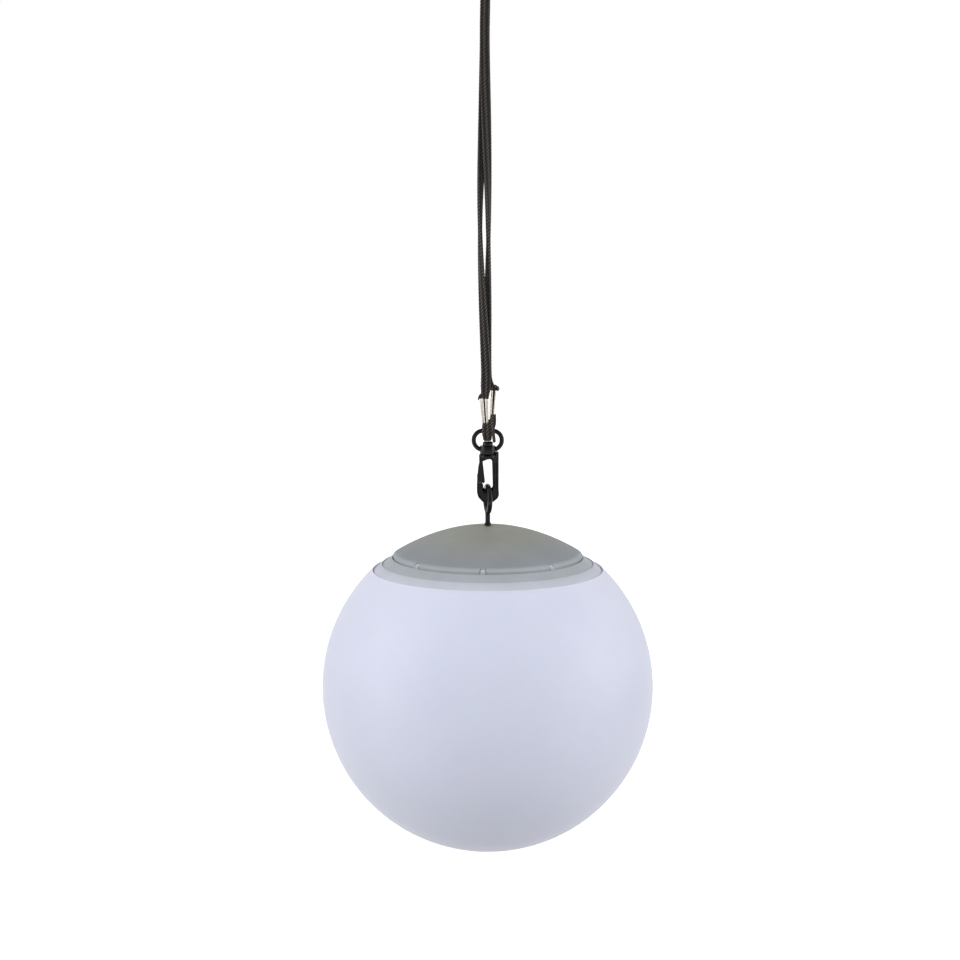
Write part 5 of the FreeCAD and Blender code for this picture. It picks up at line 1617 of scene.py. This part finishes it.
@dataclass
class Collar:
    """Ring between dome and globe: two visible bands, shelf, web, skirt and lugs."""

    centre_z: float = -426.0
    bore: float = 46.0
    shelf_z: float = -350.0
    shelf: float = 2.0
    skirt_bore: float = 60.95
    skirt: float = 62.95
    skirt_z: float = -364.0
    rim: float = 65.6
    edge: float = 69.0
    edge_z: float = -356.2
    bands: tuple[float, float] = (98.9, 98.2)   # radii of the outer and the inner visible band
    step: float = 63.6        # where one band drops to the other
    dome_edge: float = 57.5   # where the inner band drops to the seat
    seat: float = 96.95       # under the dome's edge
    seat_end: float = 55.4
    lugs: int = 8             # in the dome's notches
    first_lug: float = -3.0
    lug_width: float = 3.1
    lug_inner: float = 55.0
    lug_outer: float = 57.4
    lug_crown: float = 98.95
    lug_top: float = -344.4
    lug_round: float = 2.1    # height of its upper part, which follows the dome
    locks: int = 3            # under the globe's ledge
    lock_width: float = 12.0
    lock_heights: tuple[float, float] = (-362.6, -360.1)
    lock_reach: tuple[float, float] = (60.5, 65.2)
    columns: int = 288

    def ball(self, radius: float, first: float, last: float, count: int) -> list[tuple]:
        """Profile points on a ball about the globe's middle, from one distance to another.

        Args:
            radius: Radius of the ball.
            first: Distance of the first point.
            last: Distance of the last.
            count: How many points to give.

        Returns:
            Corners without rounding: distance, height and 0.
        """
        distance = np.linspace(first, last, count)
        height = self.centre_z + np.sqrt(radius ** 2 - distance ** 2)
        return [(float(r), float(z), 0.0) for r, z in zip(distance, height)]

    def build(self, finish: bpy.types.Material) -> None:
        """Turn the profile, then set the eight locating lugs and the three locking lugs on it.

        Args:
            finish: Its material.
        """
        under = self.shelf_z - self.shelf
        profile = [(self.bore, under, 0.2), (self.skirt_bore, under, 0),
                   (self.skirt_bore, self.skirt_z, 0.3), (self.skirt, self.skirt_z, 0.5),
                   (self.skirt, -353.6, 0.3), (self.rim, -355.3, 0.3),
                   (self.rim, self.edge_z, 0.2), (self.edge, self.edge_z, 0.2)]
        profile += self.ball(self.bands[0], self.edge, self.step + 0.1, 8)
        profile += self.ball(self.bands[1], self.step - 0.1, self.dome_edge + 0.1, 8)
        profile += self.ball(self.seat, self.dome_edge - 0.1, self.seat_end, 4)
        profile += [(self.seat_end, self.shelf_z, 0), (self.bore, self.shelf_z, 0.2)]
        shells = [turned(rounded(profile, steps=5), self.columns)]
        for turn in range(self.lugs):
            lug = block(self.lug_width, self.shelf_z + 0.4, self.lug_top, self.lug_inner,
                        self.lug_outer, turn=self.first_lug + 360 / self.lugs * turn)
            away = np.hypot(lug.points[:, 0], lug.points[:, 1])
            crown = self.centre_z + np.sqrt(self.lug_crown ** 2 - away ** 2)
            high = lug.points[:, 2] > self.lug_top - self.lug_round
            lug.points[high, 2] = crown[high] + (lug.points[high, 2] - self.lug_top)
            shells.append(lug)
        for turn in range(self.locks):
            shells.append(block(self.lock_width, *self.lock_heights, *self.lock_reach, 0.4,
                                360 / self.locks * turn))
        make_piece("closure_collar_frosted", shells, finish, Body.LAMP, ("closure_collar",))


@dataclass
class Globe:
    """Hollow ball with a rounded neck and, inside it, the ledge that the collar locks under."""

    centre_z: float = -426.0
    radius: float = 100.0
    wall: float = 1.8
    neck: float = 69.3
    rim_z: float = -353.906
    ledge_top: float = -357.706
    ledge_bottom: float = -359.706
    ledge_inner: float = 63.6
    gap_reach: float = 65.55
    gap_half: float = 7.0
    twist: float = 25.0
    stop_width: float = 2.0   # lugs under the ledge that stop the twist
    stop_height: float = 2.5
    stop_reach: float = 65.4
    stop_aside: float = 7.4
    columns: int = 288

    def ledge_at(self, angle: np.ndarray) -> np.ndarray:
        """Inner radius of the ledge: cut back along a straight line in three gaps.

        Args:
            angle: Angles round the axis.

        Returns:
            A radius for each angle.
        """
        step = 2 * np.pi / 3
        away = (angle + math.radians(self.twist) + step / 2) % step - step / 2
        inside = np.clip((self.gap_half - np.abs(np.tan(away)) * self.gap_reach) / 0.5, 0, 1)
        return self.ledge_inner + (self.gap_reach / np.cos(away) - self.ledge_inner) * inside

    def build(self, finish: bpy.types.Material) -> None:
        """Skin the ball, its rim, its ledge and its inside as one closed surface.

        Formula: outside, radius and height are R sin(p) and R cos(p) for p from the bottom up to
        the neck. The rim is a quarter circle. Inside, the same with R less the wall.

        Args:
            finish: Its material.
        """
        angle = np.linspace(0, 2 * np.pi, self.columns, endpoint=False)
        stop = math.asin(self.neck / self.radius)
        down = np.linspace(np.pi - 0.004, stop + 0.012, 150)[:, None]
        rows = [(self.radius * np.sin(down), self.centre_z + self.radius * np.cos(down))]
        rim = [(self.neck + 0.65, self.rim_z - 0.33), (self.neck + 0.3, self.rim_z - 0.06),
               (self.neck + 0.08, self.rim_z - 0.12), (self.neck, self.rim_z - 0.4),
               (self.neck, self.ledge_top)]
        rows += [(np.array([[r]]), np.array([[z]])) for r, z in rim]
        ledge = self.ledge_at(angle)[None]
        rows += [(ledge + back, np.array([[z]])) for back, z in (
            (0.3, self.ledge_top), (0.0, self.ledge_top - 0.3),
            (0.0, self.ledge_bottom + 0.3), (0.3, self.ledge_bottom))]
        inner = self.radius - self.wall
        meet = math.acos((self.ledge_bottom - self.centre_z) / inner)
        up = np.linspace(meet, np.pi - 0.004, 110)[:, None]
        rows.append((inner * np.sin(up), self.centre_z + inner * np.cos(up)))
        shells = [skin(lathe(rows, angle))]
        for turn in range(3):
            shells.append(block(self.stop_width, self.ledge_bottom - self.stop_height,
                                self.ledge_bottom + 0.4, self.ledge_inner, self.stop_reach,
                                turn=120 * turn, aside=self.stop_aside))
        make_piece("globe_shell_opal", shells, finish, Body.GLOBE, ("globe_shell",),
                   sharp=50)


# ---- Everything inside, and the studio ----------------------------------------------------


@dataclass
class Innards:
    """CAD nodes whose shape is right as it is: each keeps its mesh and gets its real finish."""

    finishes: dict[str, Finish] = field(default_factory=lambda: {
        "seal_rubber": SoftRubber("moulded_rubber_seal"),
        "plated_steel": WorkedMetal("zinc_plated_steel_screw", "#c9c9c6", "#a5a5a2", 0.3),
        "silicone": SoftRubber("moulded_silicone_gasket", "#d8d8d5", "#e6e6e4", 0.5),
        "housing_white": MouldedPlastic("white_abs_moulded", "#e4e4e1", "#e9e9e7", 0.4, 0.5, 0.02,
                                        25),
        "panel_glass": PrintedCells("solar_cells_under_resin"),
        "cell_wrap": MouldedPlastic("heat_shrunk_wrap_on_cell", "#2f7d5b", "#35876a", 0.22, 2.0,
                                    0.03, 9),
        "holder_black": MouldedPlastic("black_nylon_moulded", "#141414", "#1b1b1b", 0.5, 0.4, 0.02),
        "contact_steel": WorkedMetal("nickel_plated_spring_steel", "#d4d1ca", "#b5b1a8", 0.22,
                                     along=Along.X),
        "board_white": PrintedCells("white_solder_mask_board", "#e8e8e4", "#c9c7bd", "#efefec", 4.0,
                                    0.05, 0.35, 7.0),
        "emitter": MouldedPlastic("phosphor_resin_emitter", "#ead27a", "#f0dc92", 0.3, 0.3, 0.02,
                                  1.2),
        "board_green": PrintedCells("green_solder_mask_board", "#14532d", "#2c8a4d", "#17603a", 1.8,
                                    0.18, 0.3, 5.0),
        "component_black": MouldedPlastic("epoxy_component_package", "#1c1c1f", "#29292d", 0.45,
                                          0.3, 0.02, 3.0),
        "switch_cap": MouldedPlastic("black_nylon_switch_cap", "#191919", "#222222", 0.5, 0.3,
                                     0.03),
        "lead_red": SoftRubber("red_pvc_sleeve", "#9c1d16", "#ad2a22", 0.45),
        "lead_white": SoftRubber("white_pvc_sleeve", "#d9d9d6", "#e4e4e2", 0.45),
    })

    def build(self) -> None:
        """Give every remaining CAD node the finish of its slot in the record."""
        made = {slot: finish.build() for slot, finish in self.finishes.items()}
        for part in frame["record"]["subparts"]:
            slot = part["material_slot"]
            if slot not in made:
                continue
            for place in frame["nodes"][part["node"]].material_slots:
                place.material = made[slot]
            LOG.info("%s wears %s", part["node"], made[slot].name)


@dataclass
class Studio:
    """White studio: pale floor, white surroundings, two soft boxes, and the camera."""

    eye: tuple[float, float, float] = (-0.00466, -2.2, 0.058)
    pitch: float = 9.229      # degrees downwards
    lens: float = 139.196
    floor_z: float = -1.2
    ambient: tuple[float, float] = (0.24, 1.14)     # from behind, and from in front
    mirrored: tuple[float, float] = (0.22, 1.0)      # in reflections, from in front and from behind
    aim: tuple[float, float, float] = (0.0, 0.0, -0.4)
    left: tuple[float, float, float] = (-1.93, -0.5, 0.1)
    left_power: float = 12.6
    right: tuple[float, float, float] = (1.97, -0.3, 0.0)
    right_power: float = 10.4
    box_sizes: tuple[tuple[float, float], ...] = ((1.5, 1.5), (1.2, 1.4))
    floor_rings: tuple[float, ...] = (0.05, 1.0, 3.0, 7.0)
    floor_colour: str = "#bebebc"
    floor_glow: float = 0.8
    floor_columns: int = 96

    def camera(self) -> None:
        """Camera at the photograph's place, without shift or depth of field."""
        data = bpy.data.cameras.new("camera")
        data.lens = self.lens
        data.sensor_width = 36.0
        data.clip_end = 60.0
        holder = bpy.data.objects.new("camera", data)
        holder.location = self.eye
        holder.rotation_euler = (math.radians(90 - self.pitch), 0.0, 0.0)
        bpy.context.scene.collection.objects.link(holder)
        bpy.context.scene.camera = holder

    def world(self) -> None:
        """White where it is seen directly, in glass, or in a reflection of the far side."""
        world = bpy.data.worlds.new("studio")
        world.use_nodes = True
        tree = world.node_tree
        rays = add(tree, "LightPath")
        background = tree.nodes["Background"]
        coordinates = add(tree, "TexCoord")
        parts = add(tree, "SeparateXYZ", {"Vector": coordinates.outputs["Generated"]})
        behind = add(tree, "MapRange", {"Value": parts.outputs["Y"], "From Min": -0.75,
                                        "From Max": 0.15, "To Min": self.mirrored[0],
                                        "To Max": self.mirrored[1]})
        facing = add(tree, "VectorMath", {0: coordinates.outputs["Generated"],
                                          1: (0.0, -1.0, 0.05)}, operation="DOT_PRODUCT")
        falling = add(tree, "MapRange", {"Value": facing.outputs["Value"], "From Min": -1.0,
                                         "From Max": 1.0, "To Min": self.ambient[0],
                                         "To Max": self.ambient[1]})
        mirrored = add(tree, "Mix", {0: rays.outputs["Is Glossy Ray"], 2: falling.outputs["Result"],
                                     3: behind.outputs["Result"]}, data_type="FLOAT")
        seen = add(tree, "Math", {0: rays.outputs["Is Camera Ray"],
                                  1: rays.outputs["Is Transmission Ray"]}, operation="MAXIMUM")
        strength = add(tree, "Mix", {0: seen.outputs["Value"], 2: mirrored.outputs[0], 3: 1.0},
                       data_type="FLOAT")
        background.inputs["Color"].default_value = (1.0, 1.0, 1.0, 1.0)
        tree.links.new(strength.outputs[0], background.inputs["Strength"])
        bpy.context.scene.world = world

    def floor(self) -> None:
        """Round pale floor that reads as white and keeps the object's shadow."""
        count = self.floor_columns
        angle = np.linspace(0, 2 * np.pi, count, endpoint=False)
        rings = np.array(self.floor_rings)[:, None]
        points = np.stack([rings * np.cos(angle), rings * np.sin(angle),
                           np.full((len(rings), count), self.floor_z)], -1).reshape(-1, 3)
        row, column = np.meshgrid(np.arange(len(rings) - 1), np.arange(count), indexing="ij")
        beside = (column + 1) % count
        quads = np.stack([row * count + column, (row + 1) * count + column,
                          (row + 1) * count + beside, row * count + beside], -1).reshape(-1, 4)
        mesh = bpy.data.meshes.new("studio_floor")
        mesh.from_pydata(points.tolist(), [], quads.tolist() + [list(range(count))])
        material = bpy.data.materials.new("pale_paper_sweep")
        material.use_nodes = True
        tree = material.node_tree
        shader = tree.nodes["Principled BSDF"]
        shader.inputs["Base Color"].default_value = linear(self.floor_colour)
        shader.inputs["Roughness"].default_value = 0.9
        rays = add(tree, "LightPath")
        seen = add(tree, "Math", {0: rays.outputs["Is Camera Ray"],
                                  1: rays.outputs["Is Glossy Ray"]}, operation="MAXIMUM")
        glow = add(tree, "Math", {0: seen.outputs["Value"], 1: self.floor_glow},
                   operation="MULTIPLY")
        shader.inputs["Emission Color"].default_value = (1.0, 1.0, 1.0, 1.0)
        tree.links.new(glow.outputs["Value"], shader.inputs["Emission Strength"])
        mesh.materials.append(material)
        sweep = bpy.data.objects.new("studio_floor", mesh)
        bpy.context.scene.collection.objects.link(sweep)

    def soft_box(self, name: str, place: tuple, size: tuple, power: float) -> None:
        """One rectangular area light that faces the point between cord and globe.

        Args:
            name: Name of the light.
            place: Where it stands, in metres.
            size: Its width and height, in metres.
            power: Its power in watts.
        """
        data = bpy.data.lights.new(name, "AREA")
        data.shape = "RECTANGLE"
        data.size, data.size_y = size
        data.energy = power
        lamp = bpy.data.objects.new(name, data)
        lamp.location = place
        forward = np.array(self.aim) - np.array(place)
        flat = math.hypot(forward[0], forward[1])
        lamp.rotation_euler = (math.atan2(flat, -forward[2]), 0.0,
                               math.atan2(forward[1], forward[0]) - math.pi / 2)
        bpy.context.scene.collection.objects.link(lamp)

    def build(self) -> None:
        """Set up camera, surroundings, floor and both soft boxes."""
        self.camera()
        self.world()
        self.floor()
        self.soft_box("soft_box_left", self.left, self.box_sizes[0], self.left_power)
        self.soft_box("soft_box_right", self.right, self.box_sizes[1], self.right_power)
        bpy.context.scene.view_settings.view_transform = "Standard"


def main() -> None:
    """Build every sub-assembly in order."""
    logging.basicConfig(level=logging.INFO, format="%(message)s")
    Studio().build()
    cord = BraidedPolyester("braided_polyester_cord").build()
    nickel = WorkedMetal("bright_nickel_on_folded_strip", "#eae6df", "#d3cec6", 0.24, line_mm=0.4,
                         line_depth_mm=0.0005, along=Along.Z).build()
    acetal = MouldedPlastic("black_acetal_moulded", "#040404", "#080808", 0.24, 0.3, 0.003,
                            ior=1.36).build()
    HangingCord().build(cord)
    front = CordEnd(End.FRONT, strand_y=-1.1, height=5.0, lean=-4.0, side=-0.95, loop_side=-0.4,
                    loop_shift=0.15, loop_wall=2.75, loop_slack=0.45, loop_drop=4.2,
                    bottom_wall=4.2, loop_width=(5.6, 6.2, 6.5, 6.2, 5.4), crimp_width=(4.9, 6.2),
                    face_slope=(0.1, 1.0), seam_gap=(0.65, 0.7))
    rear = CordEnd(End.REAR, strand_y=3.3, height=9.2, lean=3.7, side=2.15, loop_side=3.15,
                   loop_shift=0.7, loop_wall=2.6, loop_slack=0.9, loop_drop=6.3, bottom_wall=2.2,
                   loop_width=(3.5, 3.9, 3.6, 1.9, 1.7, 1.9, 2.0), crimp_width=(4.0, 4.5),
                   face_slope=(0.9, 0.9), seam_gap=(0.6, 1.15))
    front.build(cord, nickel)
    rear.build(cord, nickel)
    SwivelRing().build(acetal)
    SnapHook().build(acetal)
    HookGate().build(acetal)
    EyeBolt().build(
        WorkedMetal("black_zinc_on_steel_wire", "#232526", "#141516", 0.24, 0.7,
                    line_depth_mm=0.002, along=Along.Z).build(),
        WorkedMetal("turned_brass", "#8c7a5c", "#77664a", 0.5).build())
    # the lighter stops at 55.2 and 56.6 mm paint light on the dome's edge, against the shade that
    # falls there; the stops inside are the dome's grey, tinted by the panel under it
    Dome().build(FrostedBands("frosted_acrylic_over_panel",
                              ((0.0, "#939489"), (30.0, "#93958f"), (48.0, "#8f9397"),
                               (54.0, "#8d9399"), (55.2, "#9fa5aa"), (56.6, "#a9afb5"))).build())
    # the light stop at 56.6 mm gives the lugs their lighter tone and paints a highlight on the line
    # at the dome's edge; the darker stops over the inner band are painted shade of the gap and
    # housing behind it
    Collar().build(FrostedBands("frosted_polypropylene_collar",
                                ((56.6, "#b9bec2"), (57.6, "#a7acb3"), (62.4, "#a9afb7"),
                                 (64.2, "#c0c4ce"), (67.0, "#c6cad6"), (69.0, "#d2d4e1")),
                                roughness=0.45).build())
    Globe().build(OpalPolyethylene("opal_polyethylene_moulded").build())
    Innards().build()


if __name__ == "__main__":
    main()
